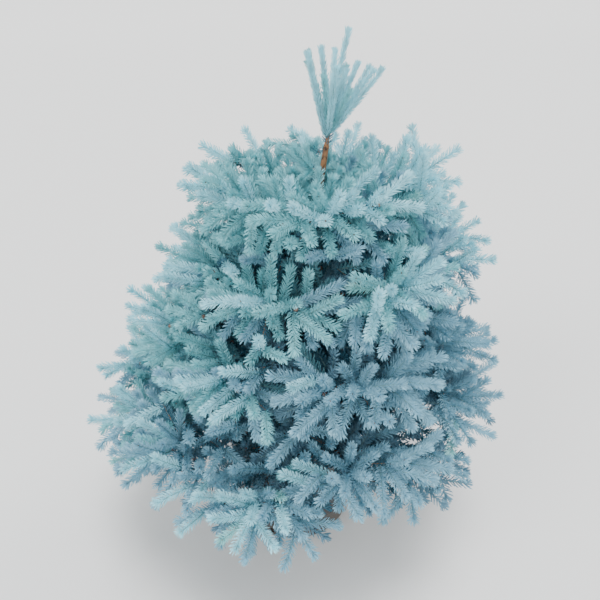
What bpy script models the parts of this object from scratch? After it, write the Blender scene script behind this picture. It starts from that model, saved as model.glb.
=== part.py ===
"""A young blue spruce in a plain nursery pot.

The pot stands on its flat underside, with the origin at the centre of that underside and
+Z up. The trunk stands on the soil and carries four whorls of boughs, some side shoots and
the leader. Each bough ends where its mass of foliage begins. A mass keeps to the space that
lies nearer to its own spine than to any other mass's spine, and clear of every limb.
"""

import math
import random
from typing import NamedTuple

import bmesh
import bpy
import numpy as np
from mathutils import Matrix, Vector

# Gap between neighbouring solids
CLEARANCE = 0.0003

# Pot
POT_HEIGHT = 0.36
POT_BASE_RADIUS = 0.168
POT_TOP_RADIUS = 0.205
POT_WALL = 0.004
POT_FLOOR = 0.006
POT_SIDES = 32
BASE_ROUNDING = 0.006
COLLAR_HEIGHT = 0.052
COLLAR_PROUD = 0.003
LIP_HEIGHT = 0.014
LIP_PROUD = 0.011
LIP_ROUNDING = 0.003
DRAIN_COUNT = 8
DRAIN_WIDTH = 0.014
DRAIN_HEIGHT = 0.024
DRAIN_FOOT = 0.012
DRAIN_DEPTH = 0.024

# Soil, which rises a little from the pot's wall to a flat place round the trunk
SOIL_EDGE_DROP = 0.034
SOIL_RISE = 0.010
SOIL_FLAT_RADIUS = 0.062
SOIL_EDGE = POT_HEIGHT - SOIL_EDGE_DROP
SOIL_TOP = SOIL_EDGE + SOIL_RISE

# Trunk
TRUNK_FOOT = SOIL_TOP + CLEARANCE
TRUNK_TOP = 1.18
TRUNK_LEAN = 0.085
TRUNK_SWAY = 0.006
TRUNK_FOOT_RADIUS = 0.0205
TRUNK_TOP_RADIUS = 0.0072
FLARE = 0.012
FLARE_HEIGHT = 0.030
FLARE_LOBES = 5
FLARE_LOBE_SHARE = 0.22
TRUNK_SIDES = 15
TRUNK_RINGS = 12
TRUNK_STEPS = 20

# Boughs
BOUGH_STEPS = 6
BOUGH_SIDES = 5
HEIGHT_SCATTER = 0.009
LENGTH_SCATTER = 0.07
TURN_SCATTER = 0.10
RISE_SCATTER = 4.0

# Foliage: a spray stands for one year's shoots with their needles
SPRAY_LENGTH = 0.165
SPRAY_RADIUS = 0.037
SPRAY_BEND = 0.010
NEEDLE_SWEEP = 0.020
CORE_SHARES = (0.0, 0.25, 0.55, 0.85)
CORE_RADII = (0.0026, 0.0125, 0.0135, 0.0080)
CORE_NEEDLED = (1, 2)
SPRAY_OUTLINE = ((0.03, 0.0040), (0.20, 0.0110), (0.30, 0.0200), (0.41, SPRAY_RADIUS),
                 (0.54, SPRAY_RADIUS), (0.67, SPRAY_RADIUS), (0.80, SPRAY_RADIUS), (1.0, 0.0030))
CROWDED_FROM = 0.45
CROWDED_TO = 0.95
CUT_BACKS = (1.0, 0.86, 0.72)
STAR_STEP = 0.009
STAR_SET_BACK = 0.011
STAR_SPREAD = 46.0
STAR_SPREAD_SCATTER = 6.0
STAR_TURN_SCATTER = 12.0
FIRST_SPRAY = (0.95, 1.0)
OTHER_SPRAYS = (0.80, 0.95)
TWIG_SHARES = (0.0, 0.30, 1.0)
TWIG_RADII = (0.0026, 0.0110, 0.0100)
TWIG_NEEDLED = (1,)
TWIG_OUTLINE = (0.0150, SPRAY_RADIUS)
TWIG_SPREAD_SCATTER = 5.0
TWIG_TURN_SCATTER = 10.0
TWIG_LENGTHS = (0.9, 1.1)
SINGLE_SPREAD = 50.0
SINGLE_TURN = 90.0
SINGLE_TURN_SCATTER = 25.0
SINGLE_SHARE = 0.8
STEM_SHARES = (0.0, 0.10, 0.32, 0.62, 1.0)
STEM_RADII = (0.0110, 0.0115, 0.0115, 0.0105)
STEM_NEEDLED_FROM = 0.32
STEM_SIDES = 3

# Room that sprays leave to the edge of their space, to limbs, to the pot and to each other
EDGE_ROOM = 0.0024
LIMB_ROOM = 0.001
POT_ROOM = 0.008
APART = 0.047
RIM_POINTS = 8


class Habit(NamedTuple):
    """How a star of sprays grows: their turns round its axis, spread, length, spacing and room."""

    turns: tuple
    spread: float
    length: float
    set_back: float
    step: float
    apart: float


class Twigs(NamedTuple):
    """A pair of side twigs: where it leaves the stem, its length, spread and side sprays' turns."""

    share: float
    length: float
    spread: float
    turns: tuple


class Whorl(NamedTuple):
    """One ring of boughs: where they leave the trunk, how they grow and what they carry."""

    label: str
    height: float
    stagger: float
    count: int
    phase: float
    reach: float
    shift: float
    rise: float
    lift: float
    bare: float
    radius: float
    tip_radius: float
    has_boughs: bool
    twigs: tuple
    singles: tuple


SIDES = (0.0, 180.0)
WHORLS = (
    Whorl("low", height=0.450, stagger=0.018, count=12, phase=-105.0, reach=0.440, shift=-0.07,
          rise=-7.0, lift=16.0, bare=0.130, radius=0.0058, tip_radius=0.0046, has_boughs=True,
          twigs=(Twigs(0.50, 0.060, 40.0, ()),), singles=(0.22, 0.60)),
    Whorl("lower", height=0.605, stagger=0.0, count=7, phase=-70.0, reach=0.380, shift=0.02,
          rise=6.0, lift=14.0, bare=0.100, radius=0.0058, tip_radius=0.0046, has_boughs=True,
          twigs=(Twigs(0.32, 0.120, 46.0, SIDES), Twigs(0.68, 0.080, 46.0, SIDES)), singles=(0.18, 0.52)),
    Whorl("middle", height=0.775, stagger=0.0, count=6, phase=-108.0, reach=0.320, shift=0.18,
          rise=16.0, lift=10.0, bare=0.080, radius=0.0050, tip_radius=0.0042, has_boughs=False,
          twigs=(Twigs(0.46, 0.105, 48.0, SIDES),), singles=(0.26, 0.72)),
    Whorl("upper", height=0.955, stagger=0.0, count=5, phase=-82.0, reach=0.250, shift=0.02,
          rise=28.0, lift=6.0, bare=0.060, radius=0.0040, tip_radius=0.0036, has_boughs=False,
          twigs=(Twigs(0.58, 0.050, 50.0, ()),), singles=(0.45,)),
)
STAR = Habit((0.0, 180.0, 90.0, 270.0, 45.0, 135.0), STAR_SPREAD, SPRAY_LENGTH,
             STAR_SET_BACK, STAR_STEP, APART)

# Small side shoots on the youngest stretch of trunk, each between two boughs below it
SIDE_COUNT = 3
SIDE_LOW = 1.040
SIDE_STEP = 0.030
SIDE_FIRST_TURN = -46.0
SIDE_TURN = 144.0
SIDE_RISE = 36.0
SIDE_STEM = 0.046
SIDE_RADII = (0.0050, 0.0050)
SIDE_TURN_SCATTER = 15.0
SIDE_RISE_SCATTER = 4.0
SIDE_STAR = Habit(turns=(0.0, 180.0), spread=36.0, length=0.130, set_back=0.003, step=0.007, apart=0.022)

# Leader with its ring of steep shoots
LEADER_SUNK = 0.004
LEADER_STEM = 0.056
LEADER_SHARES = (0.0, 0.3, 1.0)
LEADER_RADII = (0.0062, 0.0100, 0.0115)
LEADER_TURNS = (0.0, 60.0, 120.0, 180.0, 240.0, 300.0)
LEADER_STAR = Habit(LEADER_TURNS, spread=29.0, length=0.255, set_back=0.014, step=0.0045, apart=0.022)

# Finishes: colour and roughness
POT_PLASTIC = ((0.060, 0.066, 0.070), 0.55)
COMPOST = ((0.060, 0.040, 0.028), 0.95)
BARK = ((0.200, 0.130, 0.085), 0.90)
NEEDLES = ((0.240, 0.420, 0.470), 0.60)

# Modelling limits: edges sharper than this stay sharp, and a line steeper than this counts as upright
SHARP_DEGREES = 35.0
UPRIGHT_FROM = 0.98
WELD = 1e-5
RING_GATHER = 1.5


def clear_scene():
    """Removes whatever the scene holds."""
    for item in list(bpy.data.objects):
        bpy.data.objects.remove(item, do_unlink=True)


def material(name, colour, roughness):
    """A plain non-metal finish."""
    made = bpy.data.materials.new(name)
    made.use_nodes = True
    shader = made.node_tree.nodes["Principled BSDF"]
    shader.inputs["Base Color"].default_value = (*colour, 1.0)
    shader.inputs["Roughness"].default_value = roughness
    shader.inputs["Metallic"].default_value = 0.0
    return made


def add_object(name, bm, finish):
    """Turns a bmesh into a linked object with its finish."""
    mesh = bpy.data.meshes.new(name)
    bm.to_mesh(mesh)
    bm.free()
    made = bpy.data.objects.new(name, mesh)
    made.data.materials.append(finish)
    bpy.context.scene.collection.objects.link(made)
    return made


def smooth(item):
    """Shades a round piece smooth, with its real edges kept sharp."""
    item.data.shade_smooth()
    item.data.set_sharp_from_angle(angle=math.radians(SHARP_DEGREES))


def cut(item, cutter):
    """Cuts one solid from another by a Boolean that stays on the object."""
    difference = item.modifiers.new("cut", "BOOLEAN")
    difference.operation = "DIFFERENCE"
    difference.object = cutter
    difference.solver = "EXACT"


def add_cutter(name, bm, finish):
    """A solid that only cuts others."""
    cutter = add_object(name, bm, finish)
    cutter.hide_render = True
    cutter.display_type = "WIRE"
    return cutter


def turned(profile, sides):
    """A closed solid of revolution about Z, from (radius, height) points that end on the axis."""
    bm = bmesh.new()
    verts = [bm.verts.new((radius, 0.0, height)) for radius, height in profile]
    edges = [bm.edges.new(pair) for pair in zip(verts, verts[1:])]
    bmesh.ops.spin(bm, geom=verts + edges, axis=(0, 0, 1), cent=(0, 0, 0),
                   steps=sides, angle=math.tau, use_merge=True)
    bmesh.ops.remove_doubles(bm, verts=bm.verts, dist=WELD)
    bmesh.ops.recalc_face_normals(bm, faces=bm.faces)
    return bm


def next_ring(bm, ring):
    """Extrudes a ring, and gives the new ring in the old one's order with the faces between them."""
    edges = [edge for edge in bm.edges if edge.verts[0] in ring and edge.verts[1] in ring]
    grown = bmesh.ops.extrude_edge_only(bm, edges=edges)["geom"]
    new = [item for item in grown if isinstance(item, bmesh.types.BMVert)]
    flanks = [item for item in grown if isinstance(item, bmesh.types.BMFace)]
    ordered = [min(new, key=lambda vert: (vert.co - old.co).length_squared) for old in ring]
    return ordered, flanks


def frames_along(points):
    """A turning frame at each point whose third column runs along the line."""
    frames = []
    side = None
    for number in range(len(points)):
        before = points[max(number - 1, 0)]
        after = points[min(number + 1, len(points) - 1)]
        along = (after - before).normalized()
        if side is None:
            side = upright(along)
        side = (side - along * side.dot(along)).normalized()
        frames.append(Matrix((side, along.cross(side), along)).transposed())
    return frames


def tube(points, radii, sides, roll=0.0):
    """A closed tapering tube, extruded ring by ring along the points, and its flanks row by row."""
    bm = bmesh.new()
    ring = bmesh.ops.create_circle(bm, cap_ends=False, radius=1.0, segments=sides)["verts"]
    bmesh.ops.rotate(bm, cent=(0, 0, 0), matrix=Matrix.Rotation(roll, 3, "Z"), verts=ring)
    flat = [vert.co.copy() for vert in ring]
    first = ring
    rows = []
    for number, (point, radius, frame) in enumerate(zip(points, radii, frames_along(points))):
        if number:
            ring, flanks = next_ring(bm, ring)
            rows.append(flanks)
        for vert, place in zip(ring, flat):
            vert.co = point + frame @ (place * radius)
    bmesh.ops.contextual_create(bm, geom=first)
    bmesh.ops.contextual_create(bm, geom=ring)
    bmesh.ops.recalc_face_normals(bm, faces=bm.faces)
    return bm, rows


def clothed(points, radii, sides, roll, needled, tip=None):
    """A tapering tube that stands out as broad, forward-swept needles along its needled stretches."""
    bm, rows = tube(points, radii, sides, roll)
    if tip is not None:
        cap = max(bm.faces, key=lambda face: (face.calc_center_median() - points[0]).length)
        bmesh.ops.poke(bm, faces=[cap])["verts"][0].co = tip
    for number in needled:
        step = points[number + 1] - points[number]
        along = step.normalized()
        middle = points[number] + step / 2
        for vert in bmesh.ops.poke(bm, faces=rows[number])["verts"]:
            outwards = vert.co - middle
            outwards -= along * outwards.dot(along)
            vert.co = middle + along * NEEDLE_SWEEP + outwards.normalized() * SPRAY_RADIUS
    bmesh.ops.triangulate(bm, faces=bm.faces)
    bmesh.ops.recalc_face_normals(bm, faces=bm.faces)
    return bm


def trunk_point(height):
    """The trunk's centre line, which leans to +X with a slight sway."""
    share = (height - TRUNK_FOOT) / (TRUNK_TOP - TRUNK_FOOT)
    sway = TRUNK_SWAY * math.sin(math.tau * share)
    return Vector((TRUNK_LEAN * share + sway, sway, height))


def trunk_radius(height):
    """The trunk's radius, with the root flare at its foot."""
    share = (height - TRUNK_FOOT) / (TRUNK_TOP - TRUNK_FOOT)
    flare = FLARE * math.exp(-(height - TRUNK_FOOT) / FLARE_HEIGHT)
    return TRUNK_FOOT_RADIUS + (TRUNK_TOP_RADIUS - TRUNK_FOOT_RADIUS) * share + flare


def trunk_mesh(grow):
    """The trunk from its flat cut to its tip, grown a little all round where it is a cutter."""
    bm = bmesh.new()
    ring = bmesh.ops.create_circle(bm, cap_ends=False, radius=1.0, segments=TRUNK_SIDES)["verts"]
    angles = [math.atan2(vert.co.y, vert.co.x) for vert in ring]
    first = ring
    for step in range(TRUNK_RINGS):
        if step:
            ring, _ = next_ring(bm, ring)
        share = step / (TRUNK_RINGS - 1)
        height = TRUNK_FOOT + (TRUNK_TOP - TRUNK_FOOT) * share ** RING_GATHER
        centre = trunk_point(height)
        lobe = FLARE_LOBE_SHARE * math.exp(-(height - TRUNK_FOOT) / FLARE_HEIGHT)
        for vert, angle in zip(ring, angles):
            radius = trunk_radius(height) * (1 + lobe * math.cos(FLARE_LOBES * angle)) + grow
            vert.co = centre + Vector((math.cos(angle), math.sin(angle), 0.0)) * radius
    bmesh.ops.translate(bm, vec=(0, 0, grow), verts=ring)
    bmesh.ops.contextual_create(bm, geom=first)
    bmesh.ops.contextual_create(bm, geom=ring)
    bmesh.ops.recalc_face_normals(bm, faces=bm.faces)
    return bm


def pot_inner_radius(height):
    """The radius of the pot's inside at a height."""
    share = (height - POT_FLOOR) / (POT_HEIGHT - POT_FLOOR)
    return POT_BASE_RADIUS + (POT_TOP_RADIUS - POT_BASE_RADIUS) * share - POT_WALL


def build_pot(finish):
    """The pot: tapered wall, collar, lip and drain slots above a flat underside."""
    collar = POT_HEIGHT - COLLAR_HEIGHT
    lip = POT_HEIGHT - LIP_HEIGHT
    wall_at_collar = POT_BASE_RADIUS + (POT_TOP_RADIUS - POT_BASE_RADIUS) * collar / POT_HEIGHT
    lip_radius = POT_TOP_RADIUS + LIP_PROUD
    profile = [
        (0.0, 0.0),
        (POT_BASE_RADIUS - BASE_ROUNDING, 0.0),
        (POT_BASE_RADIUS, BASE_ROUNDING),
        (wall_at_collar, collar),
        (wall_at_collar + COLLAR_PROUD, collar + COLLAR_PROUD),
        (POT_TOP_RADIUS + COLLAR_PROUD, lip),
        (lip_radius, lip),
        (lip_radius, POT_HEIGHT - LIP_ROUNDING),
        (lip_radius - LIP_ROUNDING, POT_HEIGHT),
        (POT_TOP_RADIUS - POT_WALL, POT_HEIGHT),
        (pot_inner_radius(POT_FLOOR), POT_FLOOR),
        (0.0, POT_FLOOR),
    ]
    pot = add_object("pot", turned(profile, POT_SIDES), finish)
    smooth(pot)
    for number in range(DRAIN_COUNT):
        bm = bmesh.new()
        bmesh.ops.create_cube(bm, size=1.0)
        bmesh.ops.scale(bm, vec=(DRAIN_DEPTH, DRAIN_WIDTH, DRAIN_HEIGHT), verts=bm.verts)
        place = Vector((POT_BASE_RADIUS, 0.0, DRAIN_FOOT + DRAIN_HEIGHT / 2))
        bmesh.ops.translate(bm, vec=place, verts=bm.verts)
        turn = Matrix.Rotation(math.tau * (number + 0.5) / DRAIN_COUNT, 3, "Z")
        bmesh.ops.rotate(bm, cent=(0, 0, 0), matrix=turn, verts=bm.verts)
        cut(pot, add_cutter(f"drain_cutter_{number + 1}", bm, finish))


def build_soil(finish):
    """The soil that fills the pot, clear of its wall and floor."""
    foot = POT_FLOOR + CLEARANCE
    profile = [
        (0.0, foot),
        (pot_inner_radius(foot) - CLEARANCE, foot),
        (pot_inner_radius(SOIL_EDGE) - CLEARANCE, SOIL_EDGE),
        (SOIL_FLAT_RADIUS, SOIL_TOP),
        (0.0, SOIL_TOP),
    ]
    smooth(add_object("soil", turned(profile, POT_SIDES), finish))


def scattered(rng, middle, amount):
    """A random value that lies at most an amount away from the middle one."""
    return middle + rng.uniform(-amount, amount)


def bough_line(whorl, index):
    """One bough's centre line, from the trunk's centre to its last star of sprays."""
    rng = random.Random(f"{whorl.label} bough {index}")
    azimuth = math.radians(whorl.phase) + math.tau / whorl.count * scattered(rng, index, TURN_SCATTER)
    height = scattered(rng, whorl.height, HEIGHT_SCATTER)
    height += whorl.stagger if index % 2 else -whorl.stagger
    leant = 1 + whorl.shift * math.cos(azimuth)
    reach = whorl.reach * leant * scattered(rng, 1.0, LENGTH_SCATTER)
    rise = scattered(rng, whorl.rise, RISE_SCATTER)
    flat = Vector((math.cos(azimuth), math.sin(azimuth), 0.0))
    points = [trunk_point(height)]
    for step in range(BOUGH_STEPS):
        angle = math.radians(rise + whorl.lift * (step + 0.5) / BOUGH_STEPS)
        way = flat * math.cos(angle) + Vector((0.0, 0.0, math.sin(angle)))
        points.append(points[-1] + way * (reach / BOUGH_STEPS))
    return points


def length_of(points):
    """The length of a line."""
    return sum((end - start).length for start, end in zip(points, points[1:]))


def point_at(points, distance):
    """The point at a distance along a line."""
    for start, end in zip(points, points[1:]):
        length = (end - start).length
        if distance <= length:
            return start.lerp(end, distance / length)
        distance -= length
    return points[-1].copy()


def upright(direction):
    """The direction square to this one that points most nearly up, or to +X from an upright one."""
    up = Vector((0, 0, 1)) if abs(direction.z) < UPRIGHT_FROM else Vector((1, 0, 0))
    return (up - direction * up.dot(direction)).normalized()


def leaning(direction, spread, turn):
    """A direction that leans away from this one, towards the side given by a turn round it."""
    up = upright(direction)
    side = direction.cross(up)
    towards = side * math.cos(math.radians(turn)) + up * math.sin(math.radians(turn))
    angle = math.radians(spread)
    return (direction * math.cos(angle) + towards * math.sin(angle)).normalized()


def distances(places, ends):
    """How far each place lies from each straight stretch."""
    start = ends[None, :, 0]
    along = ends[None, :, 1] - start
    offset = places[:, None] - start
    share = np.clip((offset * along).sum(2) / (along * along).sum(2), 0, 1)
    return np.linalg.norm(offset - share[..., None] * along, axis=2)


def rims(centres, radii):
    """Points on the rims of discs that stand square to a line."""
    along = np.gradient(centres, axis=0)
    along /= np.linalg.norm(along, axis=1)[:, None]
    side = np.cross(along, (0.0, 0.0, 1.0)) + WELD
    side /= np.linalg.norm(side, axis=1)[:, None]
    up = np.cross(side, along)
    turn = np.linspace(0, math.tau, RIM_POINTS, endpoint=False)[:, None, None]
    return (centres + (side * np.cos(turn) + up * np.sin(turn)) * radii[:, None]).reshape(-1, 3)


class Crown:
    """The space that foliage grows in: every mass's spine, every limb, and the sprays so far."""

    def __init__(self):
        self.spines = []
        self.owners = []
        self.limbs = []
        self.limb_radii = []
        self.sprays = []

    def add_spine(self, owner, points):
        """Takes the middle line of a mass, its last spray included."""
        for pair in zip(points, points[1:]):
            self.spines.append(pair)
            self.owners.append(owner)

    def add_limb(self, points, radii):
        """Takes a limb that no foliage may touch."""
        for pair, radius in zip(zip(points, points[1:]), radii):
            self.limbs.append(pair)
            self.limb_radii.append(radius)

    def has_room(self, owner, points, radii, apart):
        """True if a body of these radii along the points fits in its mass's own space."""
        centres = np.array(points)
        reach = np.array(radii)
        limbs = distances(centres, np.array(self.limbs))
        if (limbs < np.array(self.limb_radii) + reach[:, None] + LIMB_ROOM).any():
            return False
        around = rims(centres, reach)
        spines = distances(around, np.array(self.spines))
        own = np.array(self.owners) == owner
        if (spines[:, ~own].min(axis=1) - spines[:, own].min(axis=1) < EDGE_ROOM).any():
            return False
        outer = centres[reach >= SPRAY_RADIUS]
        if self.sprays and (distances(outer, np.array(self.sprays)) < apart).any():
            return False
        over_pot = np.hypot(around[:, 0], around[:, 1]) < POT_TOP_RADIUS + LIP_PROUD + POT_ROOM
        return not (over_pot & (around[:, 2] < POT_HEIGHT + POT_ROOM)).any()


class Spray(NamedTuple):
    """One spray: its root, its direction and its length."""

    root: Vector
    direction: Vector
    length: float

    def point(self, share):
        """The middle of the spray at a share of its length; it bends slightly upwards."""
        bend = upright(self.direction) * (SPRAY_BEND * share ** 2)
        return self.root + self.direction * (self.length * share) + bend


def fitted(crown, owner, root, direction, length, apart):
    """The longest spray that keeps to its mass's own space, in a list, or an empty list."""
    for cut_back in CUT_BACKS:
        spray = Spray(root, direction, length * cut_back)
        points = [spray.point(share) for share, _ in SPRAY_OUTLINE]
        if crown.has_room(owner, points, [radius for _, radius in SPRAY_OUTLINE], apart):
            crown.sprays.append((spray.point(CROWDED_FROM), spray.point(CROWDED_TO)))
            return [spray]
    return []


def star(crown, owner, centre, direction, habit, rng):
    """The sprays that spread from one point: one straight on and the rest round it."""
    root = centre - direction * habit.step / 2
    sprays = fitted(crown, owner, root, direction, habit.length * rng.uniform(*FIRST_SPRAY), habit.apart)
    for number, turn in enumerate(habit.turns, start=1):
        spread = scattered(rng, habit.spread, STAR_SPREAD_SCATTER)
        way = leaning(direction, spread, scattered(rng, turn, STAR_TURN_SCATTER))
        root = centre - direction * (habit.set_back + habit.step * number)
        sprays += fitted(crown, owner, root, way, habit.length * rng.uniform(*OTHER_SPRAYS), habit.apart)
    return sprays


class Growth(NamedTuple):
    """One planned mass: its stem with the needled stretches, its star of sprays and its side twigs."""

    name: str
    stem: list
    radii: tuple
    needled: tuple
    habit: Habit
    twigs: tuple
    singles: tuple
    meets_trunk: bool

    @property
    def onwards(self):
        """The direction in which the stem ends."""
        return (self.stem[-1] - self.stem[-2]).normalized()

    @property
    def spine(self):
        """The stem with its last spray."""
        return self.stem + [self.stem[-1] + self.onwards * self.habit.length]


def build_mass(crown, growth, finish):
    """One mass of foliage: a stem, side twigs and stars of sprays, fused into one solid."""
    rng = random.Random(f"{growth.name} growth")
    name, stem, habit = growth.name, growth.stem, growth.habit
    parts = []
    sprays = star(crown, name, stem[-1], growth.onwards, habit, rng)
    whole = length_of(stem)
    for pair in growth.twigs:
        root = point_at(stem, pair.share * whole)
        for side in SIDES:
            spread = scattered(rng, pair.spread, TWIG_SPREAD_SCATTER)
            way = leaning(growth.onwards, spread, scattered(rng, side, TWIG_TURN_SCATTER))
            end = root + way * (pair.length * rng.uniform(*TWIG_LENGTHS))
            line = [root.lerp(end, share) for share in TWIG_SHARES]
            if crown.has_room(name, line[1:], TWIG_OUTLINE, 0.0):
                sprays += star(crown, name, end, way, habit._replace(turns=pair.turns), rng)
                body = clothed(line, TWIG_RADII, 3, rng.uniform(0, math.tau), TWIG_NEEDLED)
                parts.append(add_object("twig", body, finish))
    for share in growth.singles:
        way = leaning(growth.onwards, SINGLE_SPREAD, scattered(rng, SINGLE_TURN, SINGLE_TURN_SCATTER))
        root = point_at(stem, share * whole)
        sprays += fitted(crown, name, root, way, habit.length * SINGLE_SHARE, habit.apart)
    for spray in sprays:
        points = [spray.point(share) for share in CORE_SHARES]
        body = clothed(points, CORE_RADII, 3, rng.uniform(0, math.tau), CORE_NEEDLED, spray.point(1.0))
        parts.append(add_object("spray", body, finish))
    mass = add_object(name, clothed(stem, growth.radii, STEM_SIDES, 0.0, growth.needled), finish)
    fuse(mass, parts)
    return mass


def fuse(mass, parts):
    """Joins closed bodies into a mass by one Boolean union, and removes what was joined."""
    group = bpy.data.collections.new(f"{mass.name} parts")
    bpy.context.scene.collection.children.link(group)
    for part in parts:
        bpy.context.scene.collection.objects.unlink(part)
        group.objects.link(part)
    union = mass.modifiers.new("union", "BOOLEAN")
    union.operation = "UNION"
    union.operand_type = "COLLECTION"
    union.collection = group
    union.solver = "EXACT"
    graph = bpy.context.evaluated_depsgraph_get()
    mass.data = bpy.data.meshes.new_from_object(mass.evaluated_get(graph))
    mass.modifiers.clear()
    for part in parts:
        bpy.data.objects.remove(part, do_unlink=True)
    bpy.data.collections.remove(group)
    drop_scraps(mass)


def drop_scraps(mass):
    """Keeps the largest body of a mesh and drops loose scraps."""
    bm = bmesh.new()
    bm.from_mesh(mass.data)
    left = set(bm.faces)
    bodies = []
    while left:
        body = [left.pop()]
        for face in body:
            for edge in face.edges:
                fresh = [other for other in edge.link_faces if other in left]
                left.difference_update(fresh)
                body.extend(fresh)
        bodies.append(body)
    bodies.sort(key=len)
    for body in bodies[:-1]:
        bmesh.ops.delete(bm, geom=body, context="FACES")
    bm.to_mesh(mass.data)
    bm.free()


class Bough(NamedTuple):
    """One bare bough: its name, its centre line and its radii."""

    name: str
    line: list
    radii: tuple


def plan_whorls():
    """Works out the boughs and the masses of every whorl."""
    boughs = []
    growths = []
    for whorl in WHORLS:
        for index in range(whorl.count):
            line = bough_line(whorl, index)
            whole = length_of(line)
            start = whorl.bare + CLEARANCE
            stem = [point_at(line, start + (whole - start) * share) for share in STEM_SHARES]
            joint = whorl.radius + (whorl.tip_radius - whorl.radius) * whorl.bare / whole
            radii = (joint, *STEM_RADII)
            if whorl.has_boughs:
                bare = [point_at(line, whorl.bare * share) for share in (0.0, 0.5, 1.0)]
                bare_radii = (whorl.radius, (whorl.radius + joint) / 2, joint)
                boughs.append(Bough(f"{whorl.label}_bough_{index + 1}", bare, bare_radii))
            else:
                stem.insert(0, line[0])
                radii = (whorl.radius, *radii)
            needled = (len(stem) - len(STEM_SHARES) + STEM_SHARES.index(STEM_NEEDLED_FROM),)
            growths.append(Growth(f"{whorl.label}_foliage_{index + 1}", stem, radii, needled, STAR,
                                  whorl.twigs, whorl.singles, not whorl.has_boughs))
    return boughs, growths


def plan_side_shoots():
    """Works out the small masses on the youngest stretch of trunk."""
    growths = []
    for index in range(SIDE_COUNT):
        rng = random.Random(f"side shoot {index}")
        azimuth = math.radians(scattered(rng, SIDE_FIRST_TURN + SIDE_TURN * index, SIDE_TURN_SCATTER))
        rise = math.radians(scattered(rng, SIDE_RISE, SIDE_RISE_SCATTER))
        flat = Vector((math.cos(azimuth), math.sin(azimuth), 0.0))
        way = flat * math.cos(rise) + Vector((0, 0, math.sin(rise)))
        root = trunk_point(SIDE_LOW + SIDE_STEP * index)
        stem = [root, root + way * SIDE_STEM]
        growths.append(Growth(f"side_foliage_{index + 1}", stem, SIDE_RADII, (), SIDE_STAR, (), (), True))
    return growths


def plan_leader():
    """Works out the leader, which carries the trunk's line on upwards."""
    foot = trunk_point(TRUNK_TOP)
    way = (foot - trunk_point(TRUNK_TOP - LEADER_STEM)).normalized()
    root = foot - way * LEADER_SUNK
    stem = [root + way * LEADER_STEM * share for share in LEADER_SHARES]
    return Growth("leader_foliage", stem, LEADER_RADII, (), LEADER_STAR, (), (), True)


def main():
    """Builds the whole plant in its pot."""
    clear_scene()
    bark = material("bark", *BARK)
    needles = material("needles", *NEEDLES)

    build_pot(material("pot_plastic", *POT_PLASTIC))
    build_soil(material("compost", *COMPOST))
    smooth(add_object("trunk", trunk_mesh(0.0), bark))
    trunk_cutter = add_cutter("trunk_cutter", trunk_mesh(CLEARANCE), bark)

    boughs, growths = plan_whorls()
    growths += plan_side_shoots() + [plan_leader()]
    crown = Crown()
    heights = np.linspace(TRUNK_FOOT, TRUNK_TOP, TRUNK_STEPS + 1)
    crown.add_limb([trunk_point(height) for height in heights], [trunk_radius(height) for height in heights])
    for bough in boughs:
        crown.add_limb(bough.line, bough.radii)
        solid = add_object(bough.name, tube(bough.line, bough.radii, BOUGH_SIDES)[0], bark)
        smooth(solid)
        cut(solid, trunk_cutter)
    for growth in growths:
        crown.add_spine(growth.name, growth.spine)
    for growth in growths:
        mass = build_mass(crown, growth, needles)
        if growth.meets_trunk:
            cut(mass, trunk_cutter)


main()
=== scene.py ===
"""A young blue spruce in a nursery pot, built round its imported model.

The trunk and its limbs are turned wood with relief. The shoots grow by the same seeded rule as the
model's sprays, and are then carried on to finer shoots that keep to the same space. Every shoot is a
thin twig clothed in closed needles. Pot, compost and litter finish the plant.
"""

import logging
import math
import random
from collections import defaultdict
from collections.abc import Iterable, Sequence
from dataclasses import dataclass, field, replace
from enum import Enum
from typing import Any

import bmesh
import bpy
import numpy as np
from mathutils import Matrix, Vector, noise


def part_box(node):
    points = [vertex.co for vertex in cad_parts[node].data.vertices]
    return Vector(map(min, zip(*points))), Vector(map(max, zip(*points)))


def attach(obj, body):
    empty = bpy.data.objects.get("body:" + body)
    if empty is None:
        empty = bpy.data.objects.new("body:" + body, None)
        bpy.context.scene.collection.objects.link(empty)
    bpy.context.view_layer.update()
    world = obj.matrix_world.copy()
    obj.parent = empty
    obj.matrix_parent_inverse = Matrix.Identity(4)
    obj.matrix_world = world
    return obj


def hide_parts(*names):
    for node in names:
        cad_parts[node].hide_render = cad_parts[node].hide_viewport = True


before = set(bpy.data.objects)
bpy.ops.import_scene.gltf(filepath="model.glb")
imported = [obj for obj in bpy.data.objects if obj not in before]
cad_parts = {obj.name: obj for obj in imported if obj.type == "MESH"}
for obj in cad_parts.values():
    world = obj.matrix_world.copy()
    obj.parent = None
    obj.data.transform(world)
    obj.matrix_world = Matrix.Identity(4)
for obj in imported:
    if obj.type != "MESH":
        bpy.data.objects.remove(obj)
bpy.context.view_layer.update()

LOG = logging.getLogger("spruce")
BODY = "root"
TOP = "top"
UP = Vector((0.0, 0.0, 1.0))
ASIDE = Vector((1.0, 0.0, 0.0))
UPRIGHT_FROM = 0.98
SHARP_FROM = 40.0
TINY = 1e-5
GOLDEN_TURN = math.pi * (3.0 - math.sqrt(5.0))
HALVES = (0.0, 0.5, 1.0)
SIDES = (0.0, 180.0)


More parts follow.
